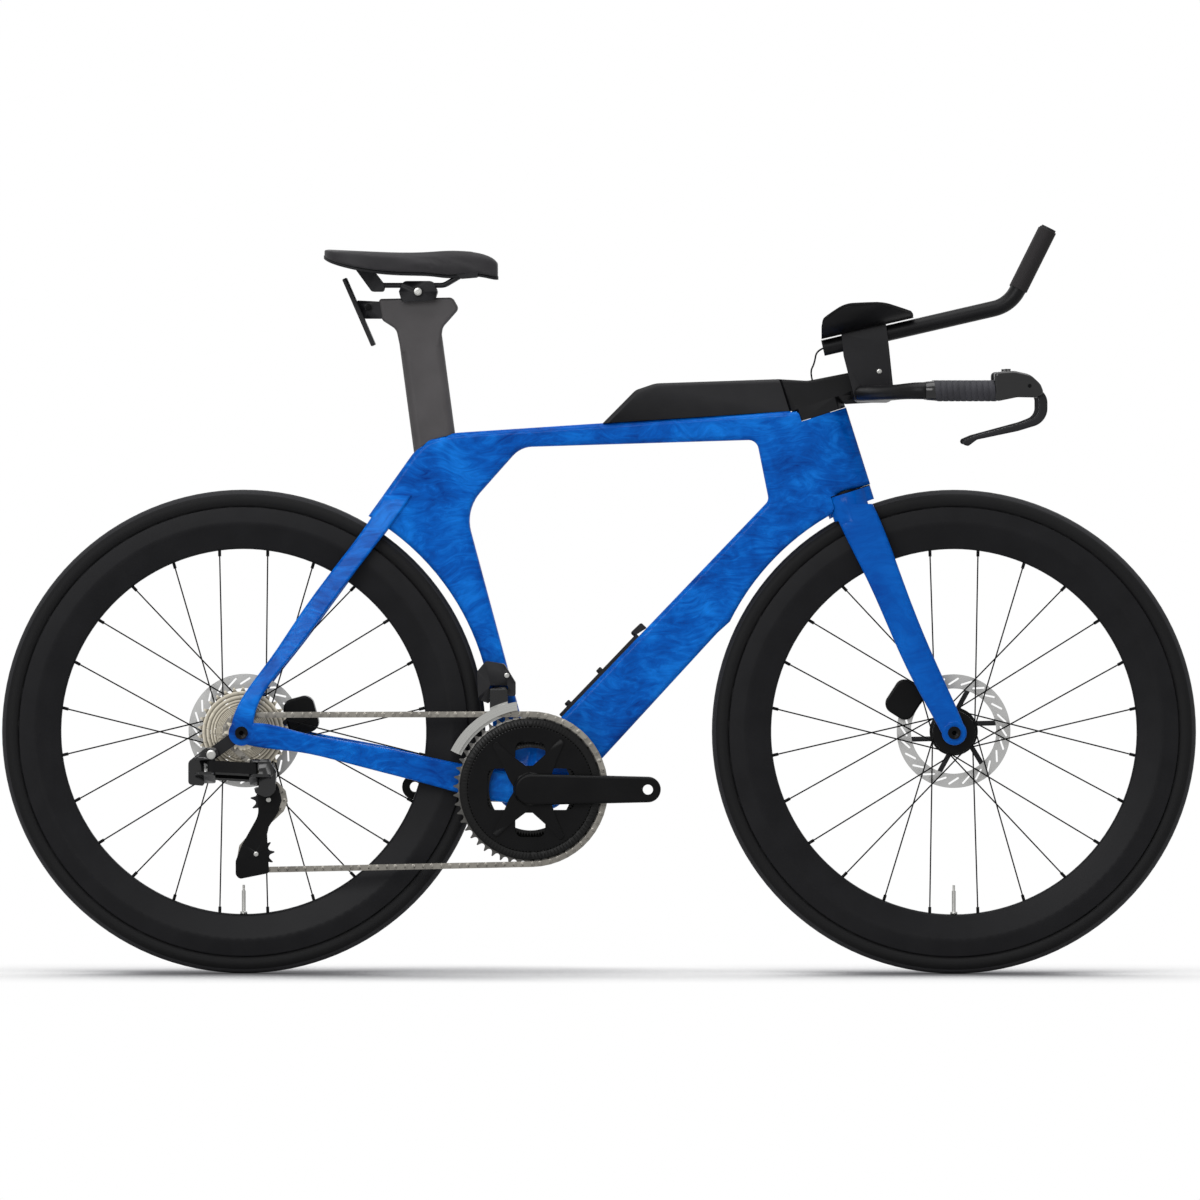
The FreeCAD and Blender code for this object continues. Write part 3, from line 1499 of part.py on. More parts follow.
def build_knuckle():
    corners = [
        (-573, 268, 5),
        (-551, 266, 3),
        (-551, 302.5, 0),
        (-530, 305, 6),
        (-532, 319, 6),
        (-548, 320, 8),
        (-573, 300, 8),
    ]
    body = side_plate(corners, -92, -71.5)
    pieces = clevis(pivot_points(knuckle_pivot), Vec(-16, 0, 0))
    bolt = across(4, *knuckle_bolt, -92, -65.5)
    head = across(7.5, *knuckle_bolt, -95, -92)
    body = body.fuse(pieces + [bolt, head])
    recess = across(4.2, *knuckle_bolt, -96, -93)
    return body.cut(recess)


save("derailleur_b_knuckle", build_knuckle())


def build_link(start):
    centre = start + link_way * (link_length / 2) - pivot_way * link_half
    outline = rounded_section(centre, link_way, link_across, link_length + 10, link_width, 3.6)
    body = Part.Face(outline).extrude(pivot_way * (2 * link_half))
    for point in (start, start + link_way * link_length):
        body = body.cut(cylinder(pin_radius + running_gap, point - pivot_way * 20, pivot_way, 40))
    return body


outer_start, inner_start = pivot_points(knuckle_pivot)
save("derailleur_outer_link", build_link(outer_start))
save("derailleur_inner_link", build_link(inner_start))


def build_p_knuckle():
    end = knuckle_pivot + link_way * link_length
    pieces = clevis(pivot_points(end), Vec(18, 0, 0))
    corners = [
        (-480, 256, 5),
        (-462, 249, 8),
        (-451, 258, 8),
        (-450, 286, 8),
        (-460, 302, 6),
        (-474, 304, 4),
        (-474, 264, 0),
        (-480, 264, 2),
    ]
    body = side_plate(corners, -90, -64)
    body = body.fuse(pieces).common(Part.makeBox(200, 60, 120, Vec(-560, -124, 220)))
    return body.cut(across(5 + running_gap, *cage_pivot, -75, -60))


save("derailleur_p_knuckle", build_p_knuckle())

cage_outer = (-61.5, -59.5)
cage_inner = (-48.6, -47.2)


def build_cage():
    guide = swung(guide_offset, cage_angle)
    tension = swung(tension_offset, cage_angle)

    outer_corners = [
        (-472.5, 274, 0),
        (-453.5, 274, 0),
        (-447, 262, 8),
        (-447, 230, 14),
        (-464, 204, 14),
        (-463, 178, 8),
        (-461, 143, 4),
        (-503, 134.5, 7),
        (-508, 141, 6),
        (-508, 160, 10),
        (-499, 183, 20),
        (-476, 224, 30),
        (-477, 262, 8),
    ]
    pieces = [side_plate(outer_corners, *cage_outer)]
    y_low, y_high = cage_inner
    pieces.append(across(14, *guide, y_low, y_high))
    pieces.append(across(15, *tension, y_low, y_high))
    start = Vec(guide[0], y_low, guide[1])
    way = Vec(tension[0] - guide[0], 0, tension[1] - guide[1])
    length = way.Length
    way.normalize()
    strip = rounded_section(start + way * (length / 2), way, way.cross(side_y), length, 17, 2)
    pieces.append(Part.Face(strip).extrude(Vec(0, y_high - y_low, 0)))
    pieces.append(across(9.5, *cage_pivot, *cage_outer))
    pieces.append(across(5, *cage_pivot, -74, cage_outer[1]))
    for spot in (guide, tension):
        pieces.append(across(2.5, *spot, cage_outer[0] - 2, cage_inner[1]))
        pieces.append(across(4, *spot, cage_outer[0] - 2, cage_outer[0]))
    return pieces[0].fuse(pieces[1:])


save("derailleur_cage", build_cage())


def build_pulley(offset, seat):
    x, z = swung(offset, cage_angle)
    wheel = sprocket(pulley_teeth, x, z, chain_y_driven, 1.8, seat_angles[seat])
    wheel = wheel.fuse(across(7, x, z, chain_y_driven - 2.4, chain_y_driven + 2.4))
    holes = []
    for index in range(5):
        turn = math.radians(72 * index)
        holes.append(across(2.6, x + 11.5 * math.cos(turn), z + 11.5 * math.sin(turn), -80, 0))
    wheel = wheel.cut(Part.makeCompound(holes))
    return wheel.cut(across(2.5 + running_gap, x, z, -80, 0))


save("guide_pulley", build_pulley(guide_offset, 2))
save("tension_pulley", build_pulley(tension_offset, 3))

# Calipers and pads
caliper_slot = 5.6
pad_thickness = 4.0


def build_caliper(x, side, spot, y_low, y_high, holder):
    out = Vec(spot[0], 0, spot[1]).normalize()
    along = out.cross(side_y)
    centre = Vec(x, y_low, axle_z) + out * 82
    block = rounded_section(centre, out, along, 44, 52, 14)
    body = Part.Face(block).extrude(Vec(0, y_high - y_low, 0))
    body = fillet_edges(body, 3, lambda edge: abs(middle(edge).y - y_low) < 0.1)
    body = body.cut(across(rotor_radius + 2.5, x, axle_z, side - caliper_slot, side + caliper_slot))
    body = body.cut(holder)
    pads = []
    clear = rotor_thickness / 2 + pad_gap
    for way in (-1, 1):
        near, far = sorted((side + way * clear, side + way * (clear + pad_thickness)))
        plate = rounded_section(Vec(x, near, axle_z) + out * 72, out, along, 15, 24, 2)
        pads.append(Part.Face(plate).extrude(Vec(0, far - near, 0)))
    return body, pads


front_caliper, front_pads = build_caliper(front_axle_x, front_rotor_side, (-68, 44), 22.5, 54, fork)
save("front_caliper", front_caliper)
save("front_pad_inner", front_pads[0])
save("front_pad_outer", front_pads[1])
rear_caliper, rear_pads = build_caliper(rear_axle_x, rear_rotor_side, (77, 21), 38, 72, frame)
save("rear_caliper", rear_caliper)
save("rear_pad_inner", rear_pads[0])
save("rear_pad_outer", rear_pads[1])
print("chain links", chain_links, "cage angle", math.degrees(cage_angle))
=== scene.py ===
import json
import logging
import math
from dataclasses import dataclass, field
from enum import Enum
from typing import Any, Callable, Optional, Sequence

import bpy
from bpy.types import Material, MeshPolygon, MeshVertex, Node, NodeSocket, NodeTree, Object
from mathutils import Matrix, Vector

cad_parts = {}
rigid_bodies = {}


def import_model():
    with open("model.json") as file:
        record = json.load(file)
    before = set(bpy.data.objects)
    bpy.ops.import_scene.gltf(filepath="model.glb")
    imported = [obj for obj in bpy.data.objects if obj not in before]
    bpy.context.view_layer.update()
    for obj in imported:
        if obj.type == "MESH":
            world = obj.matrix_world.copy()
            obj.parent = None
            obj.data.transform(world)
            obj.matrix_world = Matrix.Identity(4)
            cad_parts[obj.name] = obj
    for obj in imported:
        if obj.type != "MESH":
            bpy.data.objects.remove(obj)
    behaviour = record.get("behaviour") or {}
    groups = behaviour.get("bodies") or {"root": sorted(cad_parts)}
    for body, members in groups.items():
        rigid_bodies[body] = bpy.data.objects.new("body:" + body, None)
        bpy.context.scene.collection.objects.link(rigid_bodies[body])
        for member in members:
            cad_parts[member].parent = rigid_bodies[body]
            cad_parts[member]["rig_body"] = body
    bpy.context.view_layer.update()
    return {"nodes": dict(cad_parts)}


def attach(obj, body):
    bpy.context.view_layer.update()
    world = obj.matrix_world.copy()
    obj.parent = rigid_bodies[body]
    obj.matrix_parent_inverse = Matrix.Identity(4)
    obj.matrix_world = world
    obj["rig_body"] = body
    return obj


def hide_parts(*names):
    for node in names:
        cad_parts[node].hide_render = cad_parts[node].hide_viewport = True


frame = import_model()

LOG = logging.getLogger("time_trial_bike")
MM = 0.001
WHEELBASE = 0.998
AXLE_HEIGHT = 0.340


class Side(Enum):
    """Which side of the bike a piece is on."""

    LEFT = 1
    RIGHT = -1


class WheelEnd(Enum):
    """Which wheel, with the place of its axle along the bike."""

    FRONT = WHEELBASE / 2
    REAR = -WHEELBASE / 2


def linear(hex_colour: str) -> tuple[float, float, float, float]:
    """Turns an sRGB hex colour into linear values.

    Args:
        hex_colour: Colour such as "#0a55c0".

    Returns:
        Linear red, green and blue, and full alpha.
    """
    values = []
    for start in (1, 3, 5):
        share = int(hex_colour[start:start + 2], 16) / 255
        values.append(share / 12.92 if share <= 0.04045 else ((share + 0.055) / 1.055) ** 2.4)
    return values[0], values[1], values[2], 1.0


def per_metre(size_mm: float) -> float:
    """Pattern scale whose cells are about size_mm across."""
    return 1000.0 / size_mm


def add_node(
    tree: NodeTree,
    kind: str,
    settings: Optional[dict[str, Any]] = None,
    inputs: Optional[dict[Any, Any]] = None,
) -> Node:
    """Adds a node with its settings and links.

    Args:
        tree: Node tree that gets the node.
        kind: Blender's name for the node type, after "ShaderNode".
        settings: Attribute values; "ramp" holds (place, hex colour) pairs.
        inputs: Socket name or number to a constant or an output socket.

    Returns:
        The new node.
    """
    node = tree.nodes.new("ShaderNode" + kind)
    for key, value in (settings or {}).items():
        if key == "ramp":
            elements = node.color_ramp.elements
            while len(elements) < len(value):
                elements.new(0.5)
            for element, (place, colour) in zip(elements, value):
                element.position = place
                element.color = linear(colour)
        else:
            setattr(node, key, value)
    for key, value in (inputs or {}).items():
        if isinstance(value, NodeSocket):
            tree.links.new(value, node.inputs[key])
        else:
            node.inputs[key].default_value = value
    return node


@dataclass(frozen=True)
class Finish:
    """A plain surface: one base colour with its gloss, and a pattern that kinds of finish add.

    Attributes:
        name: Material name, for what the real surface is.
        colour: Base colour as sRGB hex.
        roughness: Roughness of the base layer.
        metallic: 1 for bare metal, else 0.
        coat: Weight of a clear coat.
        sheen: Weight of cloth sheen.
        mirror: How strongly the surface mirrors what is round it, 0.5 for plain plastic.
    """

    name: str
    colour: str
    roughness: float
    metallic: float = 0.0
    coat: float = 0.0
    sheen: float = 0.0
    mirror: float = 0.2

    def material(self) -> Material:
        """Makes the material once and gives it back after that.

        Returns:
            The material.
        """
        made = bpy.data.materials.get(self.name)
        if made:
            return made
        made = bpy.data.materials.new(self.name)
        made.use_nodes = True
        tree = made.node_tree
        shader = tree.nodes["Principled BSDF"]
        constants = {
            "Base Color": linear(self.colour),
            "Roughness": self.roughness,
            "Metallic": self.metallic,
            "Coat Weight": self.coat,
            "Coat Roughness": 0.06,
            "Sheen Weight": self.sheen,
            "Specular IOR Level": self.mirror,
        }
        for socket, value in constants.items():
            shader.inputs[socket].default_value = value
        coords = add_node(tree, "TexCoord")
        self.pattern(tree, shader, coords.outputs["Object"])
        return made

    def pattern(self, tree: NodeTree, shader: Node, place: NodeSocket) -> None:
        """Adds what varies over the surface.

        Args:
            tree: The material's nodes.
            shader: Its Principled shader.
            place: Object coordinates in metres.
        """

    def bump(self, tree: NodeTree, shader: Node, height: NodeSocket, depth_mm: float) -> None:
        """Links a height to the shader's normal.

        Args:
            tree: The material's nodes.
            shader: Its Principled shader.
            height: Height from 0 to 1.
            depth_mm: Real depth of the relief.
        """
        relief = add_node(tree, "Bump", None, {"Distance": depth_mm * MM, "Height": height})
        tree.links.new(relief.outputs["Normal"], shader.inputs["Normal"])


@dataclass(frozen=True)
class MottledPaint(Finish):
    """Blue paint dabbed in soft patches and feathery strokes under a gloss clear coat.

    Attributes:
        dark: Colour of the deepest strokes.
        light: Colour of the palest strokes.
        patch_mm: Size of a patch.
        stroke_mm: Size of a stroke.
        spread: How strongly the strokes part from the base colour.
        drift_m: How far the strokes are pushed off their straight course.
    """

    dark: str = "#022f7c"
    light: str = "#0f76d8"
    patch_mm: float = 75.0
    stroke_mm: float = 20.0
    spread: float = 1.0
    drift_m: float = 0.09

    def pattern(self, tree: NodeTree, shader: Node, place: NodeSocket) -> None:
        """Mixes slow patches with strokes that wander, so no two places repeat.

        Args:
            tree: The material's nodes.
            shader: Its Principled shader.
            place: Object coordinates in metres.
        """
        drift = add_node(
            tree, "TexNoise", None,
            {"Vector": place, "Scale": per_metre(2 * self.patch_mm), "Detail": 2.0},
        )
        lean = add_node(
            tree, "VectorMath", {"operation": "MULTIPLY_ADD"},
            {0: drift.outputs["Color"], 1: (self.drift_m,) * 3, 2: place},
        )
        stretched = add_node(
            tree, "Mapping", None,
            {"Vector": lean.outputs["Vector"], "Rotation": (0.0, 0.6, 0.0), "Scale": (0.45, 1.0, 1.5)},
        )
        strokes = add_node(
            tree, "TexNoise", None,
            {"Vector": stretched.outputs["Vector"], "Scale": per_metre(self.stroke_mm), "Detail": 8.0,
             "Roughness": 0.66, "Distortion": 1.4},
        )
        patches = add_node(
            tree, "TexNoise", None,
            {"Vector": place, "Scale": per_metre(self.patch_mm), "Detail": 4.0, "Roughness": 0.55,
             "Distortion": 0.6},
        )
        blend = add_node(
            tree, "Mix", None,
            {0: 0.5, 2: patches.outputs["Fac"], 3: strokes.outputs["Fac"]},
        )
        half = 0.16 / self.spread
        ramp = add_node(
            tree, "ValToRGB",
            {"ramp": ((0.5 - half, self.dark), (0.5, self.colour), (0.5 + half, self.light))},
            {"Fac": blend.outputs[0]},
        )
        tree.links.new(ramp.outputs["Color"], shader.inputs["Base Color"])


@dataclass(frozen=True)
class GrainedSurface(Finish):
    """Moulded or coated surface with a fine grain that breaks up its gloss.

    Attributes:
        grain_mm: Size of the grain, drawn coarser than life so that it shows.
        depth_mm: Depth of the grain.
        change: How far the colour wanders from its mean, as a second hex colour.
        cloud_mm: Size of the clouds in colour and gloss.
    """

    grain_mm: float = 1.4
    depth_mm: float = 0.03
    change: str = "#202022"
    cloud_mm: float = 38.0

    def pattern(self, tree: NodeTree, shader: Node, place: NodeSocket) -> None:
        """Adds cloudy colour, cloudy gloss and a fine relief.

        Args:
            tree: The material's nodes.
            shader: Its Principled shader.
            place: Object coordinates in metres.
        """
        grain = add_node(
            tree, "TexNoise", None,
            {"Vector": place, "Scale": per_metre(self.grain_mm), "Detail": 3.0},
        )
        cloud = add_node(
            tree, "TexNoise", None,
            {"Vector": place, "Scale": per_metre(self.cloud_mm), "Detail": 4.0},
        )
        tint = add_node(
            tree, "ValToRGB", {"ramp": ((0.3, self.colour), (0.75, self.change))},
            {"Fac": cloud.outputs["Fac"]},
        )
        gloss = add_node(
            tree, "MapRange", None,
            {"Value": cloud.outputs["Fac"], "To Min": self.roughness - 0.06, "To Max": self.roughness + 0.06},
        )
        tree.links.new(tint.outputs["Color"], shader.inputs["Base Color"])
        tree.links.new(gloss.outputs["Result"], shader.inputs["Roughness"])
        self.bump(tree, shader, grain.outputs["Fac"], self.depth_mm)


@dataclass(frozen=True)
class TurnedSurface(Finish):
    """Surface with marks that run round an axle: brushed metal, tyre ribs, brake tracks.

    Attributes:
        axle: Place that the marks run round.
        mark_mm: Spacing of the marks.
        depth_mm: Depth of the marks.
        inner_colour: Colour inside the limit.
        limit_mm: Distance from the axle where the two colours meet.
        inner_metallic: Metallic of the inner part.
        bands: Distance in mm and colour, for a surface whose colour steps outward.
    """

    axle: tuple[float, float, float] = (0.0, 0.0, 0.0)
    mark_mm: float = 1.2
    depth_mm: float = 0.02
    inner_colour: str = ""
    limit_mm: float = 0.0
    inner_metallic: float = 0.0
    bands: tuple[tuple[float, str], ...] = ()

    def pattern(self, tree: NodeTree, shader: Node, place: NodeSocket) -> None:
        """Reads the distance from the axle and draws rings of it.

        Args:
            tree: The material's nodes.
            shader: Its Principled shader.
            place: Object coordinates in metres.
        """
        centred = add_node(
            tree, "Mapping", None,
            {"Vector": place, "Location": tuple(-value for value in self.axle), "Scale": (1.0, 0.0, 1.0)},
        )
        distance = add_node(
            tree, "VectorMath", {"operation": "LENGTH"}, {0: centred.outputs["Vector"]}
        )
        marks = add_node(
            tree, "TexNoise", {"noise_dimensions": "1D"},
            {"W": distance.outputs["Value"], "Scale": per_metre(self.mark_mm), "Detail": 3.0},
        )
        gloss = add_node(
            tree, "MapRange", None,
            {"Value": marks.outputs["Fac"], "To Min": self.roughness - 0.1, "To Max": self.roughness + 0.1},
        )
        tree.links.new(gloss.outputs["Result"], shader.inputs["Roughness"])
        self.bump(tree, shader, marks.outputs["Fac"], self.depth_mm)
        if self.bands:
            reach_mm = self.bands[-1][0]
            share = add_node(
                tree, "MapRange", None,
                {"Value": distance.outputs["Value"], "From Max": reach_mm * MM},
            )
            steps = add_node(
                tree, "ValToRGB",
                {"ramp": tuple((place_mm / reach_mm, colour) for place_mm, colour in self.bands)},
                {"Fac": share.outputs["Result"]},
            )
            tree.links.new(steps.outputs["Color"], shader.inputs["Base Color"])
        if not self.inner_colour:
            return
        outside = add_node(
            tree, "MapRange", None,
            {"Value": distance.outputs["Value"], "From Min": (self.limit_mm - 0.2) * MM,
             "From Max": (self.limit_mm + 0.2) * MM},
        )
        colour = add_node(
            tree, "Mix", {"data_type": "RGBA"},
            {0: outside.outputs["Result"], 6: linear(self.inner_colour), 7: linear(self.colour)},
        )
        metal = add_node(
            tree, "MapRange", None,
            {"Value": outside.outputs["Result"], "To Min": self.inner_metallic, "To Max": self.metallic},
        )
        tree.links.new(colour.outputs[2], shader.inputs["Base Color"])
        tree.links.new(metal.outputs["Result"], shader.inputs["Metallic"])


@dataclass(frozen=True)
class KnurledRubber(Finish):
    """Moulded rubber with a net of small raised diamonds.

    Attributes:
        diamond_mm: Spacing of the diamonds.
        depth_mm: Height of the diamonds.
        lean: Angle of the two sets of ridges that cross, in radians.
    """

    diamond_mm: float = 2.6
    depth_mm: float = 0.12
    lean: float = 0.7

    def pattern(self, tree: NodeTree, shader: Node, place: NodeSocket) -> None:
        """Crosses two sets of ridges.

        Args:
            tree: The material's nodes.
            shader: Its Principled shader.
            place: Object coordinates in metres.
        """
        height = None
        for turn in (self.lean, -self.lean):
            turned = add_node(
                tree, "Mapping", None, {"Vector": place, "Rotation": (0.0, turn, 0.0)}
            )
            ridges = add_node(
                tree, "TexWave", {"bands_direction": "X"},
                {"Vector": turned.outputs["Vector"], "Scale": per_metre(self.diamond_mm) * math.pi / 10},
            )
            if height is None:
                height = ridges.outputs["Fac"]
            else:
                lower = add_node(
                    tree, "Math", {"operation": "MINIMUM"}, {0: height, 1: ridges.outputs["Fac"]}
                )
                height = lower.outputs["Value"]
        self.bump(tree, shader, height, self.depth_mm)


# Gloss clear coat over dabbed blue, so the eye sees a deep colour with soft cloudy strokes
FRAME_PAINT = MottledPaint("mottled_blue_paint", "#0254b0", 0.33, coat=0.07, mirror=0.03)
# The fork blades carry the same paint laid on more evenly
FORK_PAINT = MottledPaint(
    "even_blue_paint", "#0252ac", 0.33, coat=0.07, mirror=0.03, dark="#024299", light="#0862c0", spread=0.8
)
# Satin lacquer over carbon laminate: near black, no mirror
RIM_LAMINATE = GrainedSurface(
    "satin_carbon_laminate", "#111113", 0.42, mirror=0.1, change="#171719", grain_mm=3.0, depth_mm=0.01
)
# Seatpost lacquer is a warm dark grey that spreads light softly
POST_LAMINATE = GrainedSurface(
    "warm_grey_lacquer", "#434142", 0.5, mirror=0.2, change="#4b494a", grain_mm=2.0, depth_mm=0.01
)
# The same laminate under a darker lacquer, with a broad soft highlight along the bars
BAR_LAMINATE = GrainedSurface(
    "satin_black_laminate", "#0d0d0e", 0.4, mirror=0.12, change="#131315", depth_mm=0.01
)
# ABS with a fine spark-eroded grain that spreads every highlight
BLACK_PLASTIC = GrainedSurface("moulded_black_abs", "#18181a", 0.48, mirror=0.16, change="#1f1f21")
# ABS from a polished mould: deep black with sharp highlights
GLOSS_PLASTIC = GrainedSurface(
    "gloss_black_abs", "#060608", 0.14, mirror=0.4, change="#0b0b0d", depth_mm=0.004
)
# Black anodised aluminium: dark, with soft broad highlights
BLACK_ALLOY = GrainedSurface(
    "black_anodised_aluminium", "#050506", 0.3, mirror=0.09, change="#0a0a0b", depth_mm=0.006
)
# Bead-blasted before anodising, so it is greyer and duller
DARK_ALLOY = GrainedSurface(
    "satin_black_anodised_aluminium", "#151517", 0.42, mirror=0.16, change="#1c1c1f", depth_mm=0.006
)
# Oxide bath on steel: almost no gloss, so spokes and small bolts read as black lines
BLACK_STEEL = GrainedSurface(
    "black_oxide_steel", "#070708", 0.4, mirror=0.06, change="#0c0c0d", depth_mm=0.004
)
# Plated steel shows the white room, so it reads as pale grey with soft edges
BRIGHT_STEEL = GrainedSurface(
    "bright_plated_steel", "#a8a8a5", 0.28, metallic=1.0, mirror=0.5, change="#969693", depth_mm=0.01
)
# Nickel plate worn by the sprockets: a warm grey that drifts along the chain
CHAIN_STEEL = GrainedSurface(
    "plated_chain_steel", "#6a6762", 0.36, metallic=1.0, mirror=0.5, change="#85827b", depth_mm=0.02
)
# Pressed metal powder: brown, rough and dull
BRAKE_LINING = GrainedSurface("sintered_brake_lining", "#3a322c", 0.85, change="#55483e", grain_mm=0.9)
# Microfibre over foam: dull black with a faint sheen at the edges
SADDLE_COVER = GrainedSurface(
    "black_microfibre_cover", "#232224", 0.55, sheen=0.12, mirror=0.15, change="#2b2a2c", grain_mm=1.1,
    depth_mm=0.06,
)
# Brushed cloth over closed foam: dull black that hardly mirrors
PAD_FOAM = GrainedSurface(
    "black_foam_cover", "#131314", 0.72, sheen=0.15, mirror=0.1, change="#1a1a1b", grain_mm=1.6, depth_mm=0.1
)
# Cork tape catches light on each lap, so it is paler than the bar
BAR_TAPE = GrainedSurface(
    "black_cork_tape", "#303034", 0.62, mirror=0.15, change="#3c3c41", grain_mm=1.8, depth_mm=0.12
)
# Extruded soft vinyl: smooth and half dull
WIRE_SLEEVE = GrainedSurface("black_wire_sleeve", "#101011", 0.55, mirror=0.15, change="#161617")
# Moulded rubber whose diamonds break the light into small dots
GRIP_RUBBER = KnurledRubber("knurled_grip_rubber", "#242223", 0.68, mirror=0.15)


def deselect_all() -> None:
    """Leaves edit mode and deselects everything."""
    if bpy.context.object and bpy.context.object.mode != "OBJECT":
        bpy.ops.object.mode_set(mode="OBJECT")
    bpy.ops.object.select_all(action="DESELECT")


def activate(piece: Object) -> None:
    """Makes one object the only selected and the active one.

    Args:
        piece: The object.
    """
    deselect_all()
    piece.select_set(True)
    bpy.context.view_layer.objects.active = piece


def apply_modifier(piece: Object, kind: str, **settings: Any) -> None:
    """Adds a modifier and applies it.

    Args:
        piece: Object that gets it.
        kind: Modifier type.
        settings: Modifier attributes.
    """
    activate(piece)
    modifier = piece.modifiers.new(kind.title(), kind)
    for key, value in settings.items():
        setattr(modifier, key, value)
    bpy.ops.object.modifier_apply(modifier=modifier.name)


def select_faces(piece: Object, wanted: Callable[[MeshPolygon], bool]) -> None:
    """Selects faces by a test and enters edit mode with face selection.

    Args:
        piece: The active object.
        wanted: True for each face to select.
    """
    bpy.ops.object.mode_set(mode="EDIT")
    bpy.ops.mesh.select_mode(type="FACE")
    bpy.ops.mesh.select_all(action="DESELECT")
    bpy.ops.object.mode_set(mode="OBJECT")
    for face in piece.data.polygons:
        face.select = wanted(face)
    bpy.ops.object.mode_set(mode="EDIT")


def settle(piece: Object, name: str, body: str, finish: Finish) -> Object:
    """Puts a new piece's place into its mesh, and gives it its name, body and finish.

    Args:
        piece: The new object.
        name: Name of the piece.
        body: CAD body that it rides on.
        finish: Its finish.

    Returns:
        The same object.
    """
    activate(piece)
    bpy.ops.object.transform_apply(location=True, rotation=True, scale=True)
    piece.name = name
    piece.data.materials.clear()
    piece.data.materials.append(finish.material())
    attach(piece, body)
    LOG.info("made %s", name)
    return piece


def copy_of_node(node: str) -> Object:
    """Copies a CAD node's mesh into a new object with its triangles joined up.

    Args:
        node: CAD node.

    Returns:
        The copy, active and selected.
    """
    source = frame["nodes"][node]
    piece = bpy.data.objects.new(node + "_skin", source.data.copy())
    bpy.context.scene.collection.objects.link(piece)
    activate(piece)
    bpy.ops.object.mode_set(mode="EDIT")
    bpy.ops.mesh.select_all(action="SELECT")
    bpy.ops.mesh.remove_doubles(threshold=0.00001)
    bpy.ops.object.mode_set(mode="OBJECT")
    return piece


def swell(
    piece: Object,
    voxel_mm: float,
    cap_mm: float,
    held: Callable[[MeshVertex], bool],
    pressure: float = 4.0,
) -> None:
    """Remeshes a pad, lets it swell as stuffed cloth and applies the result.

    Args:
        piece: The pad.
        voxel_mm: Size of the new mesh.
        cap_mm: The furthest that a point may move.
        held: True for the points that rest on something.
        pressure: Cloth pressure.
    """
    activate(piece)
    piece.data.remesh_voxel_size = voxel_mm * MM
    bpy.ops.object.voxel_remesh()
    bpy.ops.object.mode_set(mode="EDIT")
    bpy.ops.mesh.select_all(action="SELECT")
    bpy.ops.transform.shrink_fatten(value=-0.4 * cap_mm * MM)
    bpy.ops.mesh.vertices_smooth(factor=0.5, repeat=2)
    bpy.ops.object.mode_set(mode="OBJECT")
    start = [vertex.co.copy() for vertex in piece.data.vertices]
    group = piece.vertex_groups.new(name="held")
    group.add([vertex.index for vertex in piece.data.vertices if held(vertex)], 1.0, "REPLACE")
    cloth = piece.modifiers.new("Cloth", "CLOTH")
    cloth.settings.use_pressure = True
    cloth.settings.uniform_pressure_force = pressure
    cloth.settings.effector_weights.gravity = 0.0
    cloth.settings.vertex_group_mass = "held"
    for step in range(1, 21):
        bpy.context.scene.frame_set(step)
    bpy.ops.object.modifier_apply(modifier="Cloth")
    bpy.context.scene.frame_set(1)
    for vertex, before in zip(piece.data.vertices, start):
        move = vertex.co - before
        if move.length > cap_mm * MM:
            vertex.co = before + move.normalized() * cap_mm * MM
    piece.vertex_groups.clear()
    apply_modifier(piece, "SUBSURF", levels=1, render_levels=1)
    bpy.ops.object.shade_smooth()


def socket_bolt(
    name: str,
    body: str,
    at: Vector,
    way: Vector,
    radius_mm: float,
    height_mm: float,
    finish: Finish,
) -> None:
    """Models a bolt head with a rounded rim and a six-sided socket.

    Args:
        name: Name of the piece.
        body: CAD body that it rides on.
        at: Middle of the face that it sits on, in metres.
        way: Direction that the head points.
        radius_mm: Radius of the head.
        height_mm: Height of the head.
        finish: Its finish.
    """
    deselect_all()
    height = height_mm * MM
    radius = radius_mm * MM
    bpy.ops.mesh.primitive_cylinder_add(vertices=24, radius=radius, depth=height, location=(0, 0, height / 2))
    head = bpy.context.object
    bpy.ops.object.transform_apply(location=True)
    apply_modifier(
        head, "BEVEL", width=0.22 * radius, segments=2, limit_method="ANGLE", angle_limit=math.radians(50)
    )
    deselect_all()
    bpy.ops.mesh.primitive_cylinder_add(
        vertices=6, radius=0.52 * radius, depth=height, location=(0, 0, height)
    )
    socket = bpy.context.object
    apply_modifier(head, "BOOLEAN", operation="DIFFERENCE", object=socket, solver="EXACT")
    bpy.data.objects.remove(socket)
    head.rotation_mode = "QUATERNION"
    head.rotation_quaternion = Vector((0, 0, 1)).rotation_difference(way.normalized())
    head.location = at
    settle(head, name, body, finish)
    bpy.ops.object.shade_smooth_by_angle(angle=math.radians(35))


@dataclass(frozen=True)
class BoltPlace:
    """Where a bolt head sits.

    Attributes:
        name: Name of the bolt.
        node: CAD node that it is in.
        at_mm: Middle of the face under its head.
        radius_mm: Radius of the head.
        height_mm: Height of the head.
        way: Direction that the head points.
    """

    name: str
    node: str
    at_mm: tuple[float, float, float]
    radius_mm: float
    height_mm: float = 1.4
    way: tuple[float, float, float] = (0.0, -1.0, 0.0)

    def fit(self, finish: Finish, slot: str) -> None:
        """Models the bolt head in its place.

        Args:
            finish: Its finish.
            slot: Not used.
        """
        body = frame["nodes"][self.node]["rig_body"]
        at = Vector(self.at_mm) * MM
        socket_bolt(self.name, body, at, Vector(self.way), self.radius_mm, self.height_mm, finish)


def dress(finish: Finish, *nodes: str) -> None:
    """Gives CAD nodes a finish.

    Args:
        finish: The finish.
        nodes: Names of the nodes.
    """
    for node in nodes:
        data = frame["nodes"][node].data
        data.materials.clear()
        data.materials.append(finish.material())
        LOG.info("dressed %s", node)


